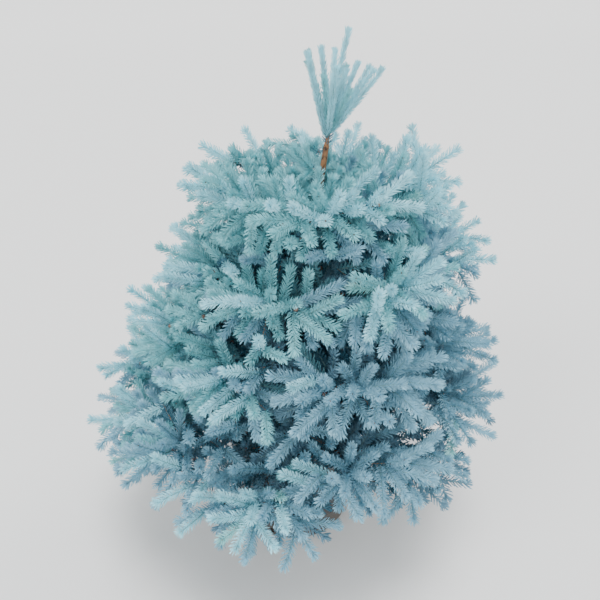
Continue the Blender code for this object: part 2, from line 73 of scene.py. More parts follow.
class Value:
    """A shader socket, so that maths on it reads as a plain expression."""

    def __init__(self, graph: "Graph", socket: bpy.types.NodeSocket) -> None:
        """Wraps one output socket of a graph."""
        self.graph = graph
        self.socket = socket

    def maths(self, operation: str, first: Any, second: Any) -> "Value":
        """Adds one Math node.

        Args:
            operation: The Math node's operation.
            first: Its first value, a number or a Value.
            second: Its second value, a number or a Value.

        Returns:
            The node's result.
        """
        return self.graph.node("ShaderNodeMath", {"operation": operation}, {0: first, 1: second})

    def __add__(self, other: Any) -> "Value":
        """self + other"""
        return self.maths("ADD", self, other)

    def __radd__(self, other: Any) -> "Value":
        """other + self"""
        return self.maths("ADD", other, self)

    def __sub__(self, other: Any) -> "Value":
        """self - other"""
        return self.maths("SUBTRACT", self, other)

    def __rsub__(self, other: Any) -> "Value":
        """other - self"""
        return self.maths("SUBTRACT", other, self)

    def __mul__(self, other: Any) -> "Value":
        """self * other"""
        return self.maths("MULTIPLY", self, other)

    def __rmul__(self, other: Any) -> "Value":
        """other * self"""
        return self.maths("MULTIPLY", other, self)


class Graph:
    """One material and its node tree."""

    def __init__(self, name: str) -> None:
        """Makes a material that has only its Principled shader and output.

        Args:
            name: The material's name.
        """
        self.material = bpy.data.materials.new(name)
        self.material.use_nodes = True
        self.tree = self.material.node_tree
        self.shader = self.tree.nodes["Principled BSDF"]

    def plug(self, socket: bpy.types.NodeSocket, item: Any) -> None:
        """Links a Value to a socket, or sets a constant on it.

        Args:
            socket: The input socket.
            item: A Value, a number, a colour of three numbers or a vector.
        """
        if isinstance(item, Value):
            self.tree.links.new(item.socket, socket)
        elif socket.type == "RGBA" and len(item) == 3:
            socket.default_value = (*item, 1.0)
        else:
            socket.default_value = item

    def node(self, kind: str, settings: dict[str, Any], inputs: dict[Any, Any], output: Any = 0) -> Value:
        """Adds one node.

        Args:
            kind: The node's type.
            settings: Its properties. The key stops holds a ramp's positions and colours.
            inputs: Its sockets' values or links, by socket name or number.
            output: The name or number of the output wanted.

        Returns:
            That output.
        """
        made = self.tree.nodes.new(kind)
        for name, setting in settings.items():
            if name == "stops":
                ramp = made.color_ramp.elements
                while len(ramp) < len(setting):
                    ramp.new(1.0)
                for stop, (position, colour) in zip(ramp, setting):
                    stop.position = position
                    stop.color = (*colour, 1.0)
            else:
                setattr(made, name, setting)
        for key, item in inputs.items():
            self.plug(made.inputs[key], item)
        return Value(self, made.outputs[output])

    def place(self) -> Value:
        """The place on the piece, in metres."""
        return self.node("ShaderNodeTexCoord", {}, {}, "Object")

    def noise(self, scale: float, detail: float = 3.0, stretch: Sequence[float] = (1.0, 1.0, 1.0)) -> Value:
        """Soft noise round 0.5.

        Args:
            scale: Its coarseness, in spots per metre.
            detail: How many finer layers it has.
            stretch: How much denser it is along each axis.

        Returns:
            The noise's value.
        """
        where = self.node("ShaderNodeMapping", {}, {"Vector": self.place(), "Scale": stretch})
        return self.node("ShaderNodeTexNoise", {}, {"Vector": where, "Scale": scale, "Detail": detail})

    def cells(self, scale: float, stretch: Sequence[float] = (1.0, 1.0, 1.0)) -> Value:
        """The distance to the nearest point of a random cell pattern."""
        where = self.node("ShaderNodeMapping", {}, {"Vector": self.place(), "Scale": stretch})
        return self.node("ShaderNodeTexVoronoi", {}, {"Vector": where, "Scale": scale})

    def step(self, value: Value, low: float, high: float) -> Value:
        """Runs from 0 to 1 as a value goes from low to high, and stays there."""
        limits = {"Value": value, "From Min": low, "From Max": high}
        return self.node("ShaderNodeMapRange", {"clamp": True}, limits)

    def mix(self, factor: Any, first: Any, second: Any) -> Value:
        """A colour between two colours."""
        return self.node("ShaderNodeMix", {"data_type": "RGBA"}, {0: factor, 6: first, 7: second}, 2)

    def bump(self, height: Value, distance: float, strength: float = 1.0) -> Value:
        """A bumped normal from a height."""
        relief = {"Height": height, "Distance": distance, "Strength": strength}
        return self.node("ShaderNodeBump", {}, relief)

    def finish(self, **sockets: Any) -> bpy.types.Material:
        """Sets the shader's own sockets.

        Args:
            sockets: Values by socket name, with _ in place of each space.

        Returns:
            The finished material.
        """
        for name, item in sockets.items():
            self.plug(self.shader.inputs[name.replace("_", " ")], item)
        return self.material


Colour = tuple[float, float, float]
Span = tuple[float, float]


def shaded(colour: Colour, amount: float) -> Colour:
    """A colour made lighter or darker by an amount."""
    return tuple(min(part * amount, 1.0) for part in colour)


@dataclass(frozen=True)
class NeedleFinish:
    """Waxy needles of one tone."""

    name: str
    colour: Colour
    roughness: float = 0.55
    gloss: float = 0.20
    patch: float = 38.0
    change: float = 0.16

    def build(self) -> bpy.types.Material:
        """Makes the material: one plain tone with soft, small changes.

        Returns:
            The material.
        """
        graph = Graph(self.name)
        soft = graph.step(graph.noise(self.patch, 2.0), 0.3, 0.7)
        dark = shaded(self.colour, 1.0 - self.change)
        light = shaded(self.colour, 1.0 + self.change)
        rough = self.roughness + 0.1 * soft
        return graph.finish(
            Base_Color=graph.mix(soft, dark, light), Roughness=rough, Specular_IOR_Level=self.gloss
        )


@dataclass(frozen=True)
class BarkFinish:
    """Bark with flakes and pale edges."""

    name: str
    furrow: Colour
    face: Colour
    pale: Colour
    grain: float
    young: Colour = (0.420, 0.190, 0.085)
    young_from: float = 0.80
    young_to: float = 1.12
    roughness: float = 0.88
    depth: float = 0.0006

    def build(self) -> bpy.types.Material:
        """Makes the material: dark furrows between flakes, a paler bloom, and orange young wood.

        Returns:
            The material.
        """
        graph = Graph(self.name)
        flakes = graph.cells(self.grain, (1.0, 1.0, 0.45))
        fine = graph.noise(self.grain * 5.0, 4.0, (1.0, 1.0, 0.5))
        broad = graph.noise(self.grain * 0.25, 2.0)
        height = graph.node("ShaderNodeSeparateXYZ", {}, {0: graph.place()}, "Z")
        old = graph.mix(graph.step(broad, 0.42, 0.62), self.face, self.pale)
        age = graph.step(height + 0.12 * broad, self.young_from, self.young_to)
        face = graph.mix(age, old, self.young)
        edge = graph.step(flakes + 0.25 * fine, 0.55, 0.85)
        colour = graph.mix(edge, face, self.furrow)
        relief = graph.bump(0.7 * fine - 0.6 * edge, self.depth)
        return graph.finish(Base_Color=colour, Roughness=self.roughness, Normal=relief)


@dataclass(frozen=True)
class TwigFinish:
    """Smooth young twigs."""

    name: str
    colour: Colour
    pale: Colour
    roughness: float = 0.7

    def build(self) -> bpy.types.Material:
        """Makes the material: one warm tone that changes along the twig.

        Returns:
            The material.
        """
        graph = Graph(self.name)
        soft = graph.step(graph.noise(90.0, 3.0), 0.35, 0.65)
        ribs = graph.noise(700.0, 2.0)
        colour = graph.mix(soft, self.colour, self.pale)
        return graph.finish(Base_Color=colour, Roughness=self.roughness, Normal=graph.bump(ribs, 0.0004))


@dataclass(frozen=True)
class PlasticFinish:
    """Matt moulded plastic with dust, dried splashes and handling scuffs."""

    name: str
    colour: Colour = (0.050, 0.055, 0.058)
    worn: Colour = (0.085, 0.090, 0.092)
    dust: Colour = (0.200, 0.170, 0.135)
    roughness: float = 0.48
    dusty_below: float = 0.11

    def build(self) -> bpy.types.Material:
        """Makes the material: dark plastic, dustier near its foot, with fine scuffs up its side.

        Returns:
            The material.
        """
        graph = Graph(self.name)
        height = graph.node("ShaderNodeSeparateXYZ", {}, {0: graph.place()}, "Z")
        cloud = graph.noise(9.0, 5.0)
        speck = graph.noise(260.0, 3.0)
        scuff = graph.step(graph.noise(34.0, 6.0, (1.0, 1.0, 0.12)), 0.60, 0.74)
        low = 1.0 - graph.step(height, 0.0, self.dusty_below)
        dusty = graph.step(cloud + 0.45 * low + 0.15 * speck, 0.66, 1.15)
        worn = graph.mix(0.35 * scuff, self.colour, self.worn)
        colour = graph.mix(0.6 * dusty, worn, self.dust)
        rough = self.roughness + 0.3 * dusty + 0.12 * scuff
        grain = graph.noise(1500.0, 2.0)
        return graph.finish(
            Base_Color=colour, Roughness=rough, Normal=graph.bump(grain + 0.3 * scuff, 0.00025)
        )


@dataclass(frozen=True)
class CompostFinish:
    """Moist compost or its chips."""

    name: str
    dark: Colour
    light: Colour
    grain: float = 170.0
    roughness: float = 0.93

    def build(self) -> bpy.types.Material:
        """Makes the material: crumbs of two tones.

        Returns:
            The material.
        """
        graph = Graph(self.name)
        crumbs = graph.noise(self.grain, 6.0)
        damp = graph.noise(14.0, 2.0)
        colour = graph.mix(graph.step(crumbs + 0.3 * damp, 0.5, 0.85), self.dark, self.light)
        return graph.finish(
            Base_Color=colour, Roughness=self.roughness, Normal=graph.bump(crumbs, 0.004)
        )


class Tone(Enum):
    """The tones that needles are dealt, by shoot."""

    # Apart from FRESH, these are lighter and darker copies of one glaucous needle colour that stand for
    # light and shade: SILVER and the pale tones carry painted light, TEAL and BLUE painted half-shade, DEEP
    # painted shade. The pale tones are partly also the real paleness of young outer growth, and DEEP partly
    # the real darkness of older inner needles.
    SILVER = NeedleFinish("needles_silver", (0.415, 0.780, 0.865))
    FRESH = NeedleFinish("needles_fresh", (0.375, 0.725, 0.735))
    PALE_TEAL = NeedleFinish("needles_pale_teal", (0.288, 0.640, 0.684))
    PALE_BLUE = NeedleFinish("needles_pale_blue", (0.289, 0.536, 0.650))
    TEAL = NeedleFinish("needles_teal", (0.187, 0.420, 0.478))
    BLUE = NeedleFinish("needles_blue", (0.191, 0.352, 0.447))
    DEEP = NeedleFinish("needles_deep", (0.090, 0.225, 0.298))


class Finish(Enum):
    """The other finishes of the plant and its pot."""

    TRUNK = BarkFinish("bark_trunk", (0.075, 0.048, 0.034), (0.230, 0.150, 0.100),
                       (0.330, 0.250, 0.190), 130.0)
    LIMB = BarkFinish("bark_limb", (0.090, 0.055, 0.036), (0.240, 0.150, 0.095),
                      (0.330, 0.230, 0.160), 240.0)
    TWIG = TwigFinish("young_twig", (0.330, 0.190, 0.105), (0.450, 0.300, 0.190))
    YOUNG = TwigFinish("green_twig", (0.200, 0.380, 0.400), (0.270, 0.430, 0.430))
    BUD = TwigFinish("bud_scales", (0.240, 0.120, 0.085), (0.400, 0.240, 0.180), 0.5)
    POT = PlasticFinish("pot_plastic_moulded")
    COMPOST = CompostFinish("compost_crumbs", (0.022, 0.014, 0.010), (0.085, 0.055, 0.036))
    CHIP = CompostFinish("bark_chips", (0.060, 0.034, 0.022), (0.210, 0.130, 0.080), 90.0)
    LITTER = CompostFinish("dry_needles", (0.180, 0.105, 0.050), (0.330, 0.215, 0.110), 60.0)


class Palette:
    """The materials, each made once."""

    made: dict[str, bpy.types.Material] = {}

    @classmethod
    def material(cls, choice: Tone | Finish) -> bpy.types.Material:
        """Gives the material of a named choice.

        Args:
            choice: The choice.

        Returns:
            Its material.
        """
        if choice.value.name not in cls.made:
            cls.made[choice.value.name] = choice.value.build()
        return cls.made[choice.value.name]


def put(name: str, mesh: bpy.types.Mesh, finish: Tone | Finish, nodes: Iterable[str]) -> None:
    """Puts a finished mesh into the scene as a piece.

    Args:
        name: The piece's name.
        mesh: Its mesh, in place.
        finish: Its finish.
        nodes: The model's nodes that it replaces.
    """
    mesh.materials.clear()
    mesh.materials.append(Palette.material(finish))
    piece = bpy.data.objects.new(name, mesh)
    bpy.context.scene.collection.objects.link(piece)
    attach(piece, BODY)
    if nodes:
        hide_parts(*nodes)
    LOG.info("%s: %d faces", name, len(mesh.polygons))


def mesh_from(bm: bmesh.types.BMesh, name: str, sharp_degrees: float = SHARP_FROM) -> bpy.types.Mesh:
    """Turns a bmesh into a smooth mesh with its real edges kept sharp.

    Args:
        bm: The bmesh, which is freed.
        name: The mesh's name.
        sharp_degrees: The angle from which an edge is sharp.

    Returns:
        The mesh.
    """
    mesh = bpy.data.meshes.new(name)
    bm.to_mesh(mesh)
    bm.free()
    mesh.shade_smooth()
    mesh.set_sharp_from_angle(angle=math.radians(sharp_degrees))
    return mesh


class Template:
    """A small closed shape made by bmesh operators, many bent copies of which form one mesh."""

    def __init__(self, bm: bmesh.types.BMesh) -> None:
        """Reads the shape's points and triangles, and frees the bmesh.

        Args:
            bm: The closed shape.
        """
        bmesh.ops.triangulate(bm, faces=bm.faces)
        bmesh.ops.recalc_face_normals(bm, faces=bm.faces)
        bm.verts.index_update()
        self.points = np.array([tuple(vert.co) for vert in bm.verts])
        self.triangles = np.array([[vert.index for vert in face.verts] for face in bm.faces])
        bm.free()

    @classmethod
    def needle(cls) -> "Template":
        """A four-sided solid needle, nearly parallel, with a slanting point: the hull of four points.

        Returns:
            The needle.
        """
        bm = bmesh.new()
        for point in ((-0.8, 0.8, 0.0), (0.8, -0.8, 0.0), (1.0, 0.9, 0.80), (-0.15, -0.4, 1.0)):
            bm.verts.new(point)
        bmesh.ops.convex_hull(bm, input=bm.verts)
        return cls(bm)

    @classmethod
    def rod(cls, sides: int, rows: int) -> "Template":
        """A round rod of radius 1 from 0 to 1, cut into rows along its length.

        Args:
            sides: How many sides it has.
            rows: How many rows it is cut into.

        Returns:
            The rod.
        """
        bm = bmesh.new()
        bmesh.ops.create_cone(bm, cap_ends=True, segments=sides, radius1=1.0, radius2=1.0, depth=1.0)
        bmesh.ops.translate(bm, vec=(0, 0, 0.5), verts=bm.verts)
        upright_edges = [edge for edge in bm.edges if abs(edge.verts[0].co.z - edge.verts[1].co.z) > 0.5]
        bmesh.ops.subdivide_edges(bm, edges=upright_edges, cuts=rows - 1)
        return cls(bm)

    @classmethod
    def bead(cls, sides: int, rings: int) -> "Template":
        """A round bead of radius 1.

        Args:
            sides: How many sides it has.
            rings: How many rings of faces it has.

        Returns:
            The bead.
        """
        bm = bmesh.new()
        bmesh.ops.create_uvsphere(bm, u_segments=sides, v_segments=rings, radius=1.0)
        return cls(bm)

    @classmethod
    def chip(cls) -> "Template":
        """A chip: a cube drawn in at one end.

        Returns:
            The chip.
        """
        bm = bmesh.new()
        bmesh.ops.create_cube(bm, size=2.0)
        for vert in bm.verts:
            if vert.co.x > 0.0:
                vert.co.y *= 0.55
                vert.co.z *= 0.7
        return cls(bm)

    def joined(self, name: str, places: np.ndarray, smooth: bool = True) -> bpy.types.Mesh:
        """One mesh of many copies.

        Args:
            name: The mesh's name.
            places: Each copy's points, as copies by points by three.
            smooth: False keeps every face's edges.

        Returns:
            The mesh.
        """
        copies = len(places)
        count = len(self.points)
        corners = (self.triangles[None] + (np.arange(copies) * count)[:, None, None]).reshape(-1)
        mesh = bpy.data.meshes.new(name)
        mesh.vertices.add(copies * count)
        mesh.vertices.foreach_set("co", places.astype(np.float32).ravel())
        mesh.loops.add(len(corners))
        mesh.loops.foreach_set("vertex_index", corners.astype(np.int32))
        mesh.polygons.add(len(corners) // 3)
        mesh.polygons.foreach_set("loop_start", np.arange(0, len(corners), 3, dtype=np.int32))
        mesh.update(calc_edges=True)
        if smooth:
            mesh.shade_smooth()
        else:
            mesh.shade_flat()
        return mesh


def upright(direction: Vector) -> Vector:
    """The direction square to this one that points most nearly up, or to +X from an upright one."""
    up = UP if abs(direction.z) < UPRIGHT_FROM else ASIDE
    return (up - direction * up.dot(direction)).normalized()


def leaning(direction: Vector, spread: float, turn: float) -> Vector:
    """A direction that leans away from this one.

    Args:
        direction: The direction to lean from.
        spread: How far it leans, in degrees.
        turn: The side it leans to, in degrees round the direction.

    Returns:
        The new direction.
    """
    up = upright(direction)
    side = direction.cross(up)
    towards = side * math.cos(math.radians(turn)) + up * math.sin(math.radians(turn))
    angle = math.radians(spread)
    return (direction * math.cos(angle) + towards * math.sin(angle)).normalized()


def level_way(azimuth: float) -> Vector:
    """The level direction at an angle round the trunk, in radians."""
    return Vector((math.cos(azimuth), math.sin(azimuth), 0.0))


def rising_way(azimuth: float, rise: float) -> Vector:
    """The direction that rises by an angle from the level one, both in radians."""
    return level_way(azimuth) * math.cos(rise) + UP * math.sin(rise)


def scattered(rng: random.Random, middle: float, amount: float) -> float:
    """A random value that lies at most an amount away from the middle one."""
    return middle + rng.uniform(-amount, amount)


def length_of(points: Sequence[Vector]) -> float:
    """The length of a line."""
    return sum((end - start).length for start, end in zip(points, points[1:]))


def point_at(points: Sequence[Vector], distance: float) -> Vector:
    """The point at a distance along a line.

    Args:
        points: The line's points.
        distance: How far along it.

    Returns:
        The point.
    """
    for start, end in zip(points, points[1:]):
        length = (end - start).length
        if distance <= length:
            return start.lerp(end, distance / length)
        distance -= length
    return points[-1].copy()


class Axis:
    """A centre line that can be read, with its frame, at any share of its length."""

    def __init__(self, points: Sequence[Vector]) -> None:
        """Takes the line's points in order.

        Args:
            points: The line's points.
        """
        self.points = np.array([tuple(point) for point in points])
        steps = np.linalg.norm(np.diff(self.points, axis=0), axis=1)
        self.length = float(steps.sum())
        self.shares = np.concatenate(([0.0], np.cumsum(steps))) / self.length
        self.along = np.gradient(self.points, self.shares, axis=0)
        self.up = np.array(upright(Vector(self.points[-1] - self.points[0]).normalized()))

    def at(self, shares: np.ndarray) -> tuple[np.ndarray, np.ndarray, np.ndarray, np.ndarray]:
        """Reads the line.

        Args:
            shares: Shares of its length.

        Returns:
            The places, and the directions along, sideways and up.
        """
        place = np.stack([np.interp(shares, self.shares, self.points[:, part]) for part in range(3)], -1)
        along = np.stack([np.interp(shares, self.shares, self.along[:, part]) for part in range(3)], -1)
        along /= np.linalg.norm(along, axis=-1, keepdims=True)
        side = np.cross(self.up, along)
        side /= np.linalg.norm(side, axis=-1, keepdims=True)
        return place, along, side, np.cross(along, side)

    def wrapped(self, rod: Template, radii: np.ndarray) -> np.ndarray:
        """Bends a rod round the line.

        Args:
            rod: The rod.
            radii: The radius at each of the rod's points.

        Returns:
            The bent rod's points.
        """
        place, _, side, up = self.at(rod.points[:, 2])
        flat = rod.points[:, :2] * radii[:, None]
        return place + side * flat[:, :1] + up * flat[:, 1:]


def roughened(points: np.ndarray, middle: np.ndarray, depth: np.ndarray, grain: float) -> np.ndarray:
    """Gives bark its relief: flakes that stand out between furrows.

    Args:
        points: Points on smooth wood.
        middle: The point of the centre line beside each one.
        depth: The relief at each point, in metres.
        grain: How many flakes there are per metre.

    Returns:
        The moved points.
    """
    upright_grain, edge, fine, fine_depth, sunk = 0.4, 2.5, 2.7, 0.5, 0.6
    moved = points.copy()
    for number, (point, centre) in enumerate(zip(points, middle)):
        where = Vector((point[0], point[1], point[2] * upright_grain)) * grain
        near, second = noise.voronoi(where)[0][:2]
        relief = min((second - near) * edge, 1.0) + fine_depth * noise.noise(where * fine) - sunk
        outward = point - centre
        moved[number] += outward / (np.linalg.norm(outward) + TINY) * depth[number] * relief
    return moved


@dataclass
class Trunk:
    """The one whole trunk, from its flat cut on the compost to the top whorl."""

    foot: float = 0.3363
    top: float = 1.18
    lean: float = 0.085
    sway: float = 0.006
    foot_radius: float = 0.0205
    top_radius: float = 0.0072
    flare: float = 0.012
    flare_height: float = 0.030
    lobes: int = 5
    lobe_share: float = 0.22
    sides: int = 56
    rows: int = 260
    gather: float = 1.25
    relief: float = 0.0011
    grain: float = 95.0
    smoother_upwards: float = 0.55
    smooth_foot: float = 60.0
    swelling: float = 0.0022
    swelling_height: float = 0.014
    whorl_heights: tuple[float, ...] = ()

    def share(self, height: float) -> float:
        """How far up the trunk a height lies."""
        return (height - self.foot) / (self.top - self.foot)

    def point(self, height: float) -> Vector:
        """The centre line at a height.

        Args:
            height: The height.

        Returns:
            The line's point.
        """
        share = self.share(height)
        sway = self.sway * math.sin(math.tau * share)
        return Vector((self.lean * share + sway, sway, height))

    def radius(self, height: float) -> float:
        """The radius at a height, with the root flare at the foot."""
        flare = self.flare * math.exp(-(height - self.foot) / self.flare_height)
        return self.foot_radius + (self.top_radius - self.foot_radius) * self.share(height) + flare

    def build(self) -> None:
        """Makes the trunk: a rod, bent, tapered, lobed at its foot, swollen at its whorls, with bark."""
        template = Template.rod(self.sides, self.rows)
        places = np.empty_like(template.points)
        middle = np.empty_like(template.points)
        depth = np.empty(len(places))
        for number, (x, y, share) in enumerate(template.points):
            height = self.foot + (self.top - self.foot) * share ** self.gather
            lobe = self.lobe_share * math.exp(-(height - self.foot) / self.flare_height)
            angle = math.atan2(y, x)
            rim = math.hypot(x, y)
            swelling = sum(math.exp(-((height - whorl) / self.swelling_height) ** 2)
                           for whorl in self.whorl_heights)
            radius = self.radius(height) * (1.0 + lobe * math.cos(self.lobes * angle))
            radius += self.swelling * swelling
            centre = self.point(height)
            middle[number] = centre
            places[number] = centre + Vector((math.cos(angle), math.sin(angle), 0.0)) * radius * rim
            rough = self.relief * (1.0 - self.smoother_upwards * share)
            depth[number] = rough * min(share * self.smooth_foot, 1.0)
        places = roughened(places, middle, depth, self.grain)
        put("trunk_bark", template.joined("trunk_bark", places[None]), Finish.TRUNK, ["trunk"])


@dataclass(frozen=True)
class Habit:
    """How a star of shoots grows: its turns, spread, lengths, spacing and room.

    closeness is less than 1 where the needles lie closer to the twig.
    """

    turns: tuple[float, ...]
    spread: float
    length: float
    set_back: float
    step: float
    apart: float
    fine_spreads: tuple[Span, ...] = ((22.0, 50.0), (50.0, 84.0))
    fine_lengths: Span = (0.11, 0.15)
    fine_apart: float = 0.0255
    wood_step: float = 0.017
    closeness: float = 0.93

    def turned(self, turns: tuple[float, ...]) -> "Habit":
        """The same habit with other turns."""
        return replace(self, turns=turns)


@dataclass(frozen=True)
class Twigs:
    """A pair of side twigs: where it leaves the stem, its length, spread and side shoots' turns."""

    share: float
    length: float
    spread: float
    turns: tuple[float, ...]


STAR = Habit((0.0, 180.0, 90.0, 270.0, 45.0, 135.0), spread=46.0, length=0.165, set_back=0.011,
             step=0.009, apart=0.047)
SIDE_STAR = Habit(SIDES, spread=36.0, length=0.130, set_back=0.003, step=0.007, apart=0.022,
                  fine_spreads=((20.0, 44.0),), fine_lengths=(0.11, 0.14), fine_apart=0.022,
                  wood_step=1.0, closeness=0.76)
LEADER_STAR = Habit((0.0, 60.0, 120.0, 180.0, 240.0, 300.0), spread=29.0, length=0.255, set_back=0.014,
                    step=0.0045, apart=0.022, fine_spreads=((9.0, 17.0), (22.0, 31.0)),
                    fine_lengths=(0.14, 0.21), fine_apart=0.0185, wood_step=1.0, closeness=0.62)


@dataclass(frozen=True)
class Whorl:
    """One ring of boughs: where they leave the trunk, how they grow and what they carry."""

    label: str
    height: float
    stagger: float
    count: int
    phase: float
    reach: float
    shift: float
    rise: float
    lift: float
    bare: float
    radius: float
    has_boughs: bool
    twigs: tuple[Twigs, ...]
    singles: tuple[float, ...]
    steps: int = 6
    height_scatter: float = 0.009
    length_scatter: float = 0.07
    turn_scatter: float = 0.10
    rise_scatter: float = 4.0

    def line(self, trunk: Trunk, index: int) -> list[Vector]:
        """One bough's centre line, from the trunk's centre to its last star of shoots.

        Args:
            trunk: The trunk.
            index: The bough's number in its whorl.

        Returns:
            The line's points.
        """
        rng = random.Random(f"{self.label} bough {index}")
        turn = scattered(rng, index, self.turn_scatter)
        azimuth = math.radians(self.phase) + math.tau / self.count * turn
        height = scattered(rng, self.height, self.height_scatter)
        height += self.stagger if index % 2 else -self.stagger
        leant = 1 + self.shift * math.cos(azimuth)
        reach = self.reach * leant * scattered(rng, 1.0, self.length_scatter)
        rise = scattered(rng, self.rise, self.rise_scatter)
        points = [trunk.point(height)]
        for step in range(self.steps):
            angle = math.radians(rise + self.lift * (step + 0.5) / self.steps)
            points.append(points[-1] + rising_way(azimuth, angle) * (reach / self.steps))
        return points


WHORLS = (
    Whorl("low", height=0.450, stagger=0.018, count=12, phase=-105.0, reach=0.440, shift=-0.07,
          rise=-7.0, lift=16.0, bare=0.130, radius=0.0058, has_boughs=True,
          twigs=(Twigs(0.50, 0.060, 40.0, ()),), singles=(0.22, 0.60)),
    Whorl("lower", height=0.605, stagger=0.0, count=7, phase=-70.0, reach=0.380, shift=0.02,
          rise=6.0, lift=14.0, bare=0.100, radius=0.0058, has_boughs=True,
          twigs=(Twigs(0.32, 0.120, 46.0, SIDES), Twigs(0.68, 0.080, 46.0, SIDES)), singles=(0.18, 0.52)),
    Whorl("middle", height=0.775, stagger=0.0, count=6, phase=-108.0, reach=0.320, shift=0.18,
          rise=16.0, lift=10.0, bare=0.080, radius=0.0050, has_boughs=False,
          twigs=(Twigs(0.46, 0.105, 48.0, SIDES),), singles=(0.26, 0.72)),
    Whorl("upper", height=0.955, stagger=0.0, count=5, phase=-82.0, reach=0.250, shift=0.02,
          rise=28.0, lift=6.0, bare=0.060, radius=0.0040, has_boughs=False,
          twigs=(Twigs(0.58, 0.050, 50.0, ()),), singles=(0.45,)),
)


@dataclass(frozen=True)
class Outline:
    """The body that a shoot fills: shares of its length with their radii, and its full radius."""

    shares: tuple[float, ...]
    radii: tuple[float, ...]
    full: float


SPRAY = Outline((0.03, 0.20, 0.30, 0.41, 0.54, 0.67, 0.80, 1.0),
                (0.004, 0.011, 0.020, 0.037, 0.037, 0.037, 0.037, 0.003), 0.037)
FINE = Outline((0.05, 0.20, 0.35, 0.50, 0.65, 0.80, 0.95, 1.0),
               (0.004, 0.010, 0.017, 0.017, 0.017, 0.017, 0.014, 0.004), 0.017)


@dataclass
class Shoot:
    """One young shoot."""

    root: Vector
    direction: Vector
    length: float
    roll: float = 0.0
    bend: float = 0.010
    # openness ranks how little other shoots cover this one; it sets the shoot's painted light and shade.
    openness: float = 1.0

    def point(self, share: float) -> Vector:
        """The middle of the shoot at a share of its length; it bends up or down by the bend."""
        straight = self.root + self.direction * (self.length * share)
        return straight + upright(self.direction) * (self.bend * share ** 2)

    def line(self, last: float) -> list[Vector]:
        """The middle of the shoot from its root to a share of its length, in five steps."""
        return [self.point(last * step / 5) for step in range(6)]


@dataclass
class Mass:
    """One mass of foliage: its stem, its bough's wood, its twigs and shoots, and how far they reach."""

    name: str
    label: str
    stem: list[Vector]
    wood: list[Vector]
    radius: float
    habit: Habit
    twigs: tuple[Twigs, ...] = ()
    singles: tuple[float, ...] = ()
    reach: float = 0.40
    bottom: float = 0.40
    top: float = 1.20
    limbs: list[list[Vector]] = field(default_factory=list)
    stars: list[tuple[Vector, Vector]] = field(default_factory=list)
    shoots: list[Shoot] = field(default_factory=list)

    @property
    def onwards(self) -> Vector:
        """The direction in which the stem ends."""
        return (self.stem[-1] - self.stem[-2]).normalized()

    @property
    def spine(self) -> list[Vector]:
        """The stem with its last shoot."""
        return self.stem + [self.stem[-1] + self.onwards * self.habit.length]


def distances(places: np.ndarray, ends: np.ndarray) -> np.ndarray:
    """How far each place lies from each straight stretch.

    Args:
        places: The places.
        ends: Both ends of each stretch.

    Returns:
        The distances, as places by stretches.
    """
    start = ends[None, :, 0]
    along = ends[None, :, 1] - start
    offset = places[:, None] - start
    share = np.clip((offset * along).sum(2) / (along * along).sum(2), 0, 1)
    return np.linalg.norm(offset - share[..., None] * along, axis=2)


def rims(centres: np.ndarray, radii: np.ndarray, count: int = 8) -> np.ndarray:
    """Points on the rims of discs that stand square to a line.

    Args:
        centres: The discs' middles, in order along the line.
        radii: Their radii.
        count: How many points each rim has.

    Returns:
        The points.
    """
    along = np.gradient(centres, axis=0)
    along /= np.linalg.norm(along, axis=1)[:, None]
    side = np.cross(along, (0.0, 0.0, 1.0)) + TINY
    side /= np.linalg.norm(side, axis=1)[:, None]
    up = np.cross(side, along)
    turn = np.linspace(0, math.tau, count, endpoint=False)[:, None, None]
    return (centres + (side * np.cos(turn) + up * np.sin(turn)) * radii[:, None]).reshape(-1, 3)


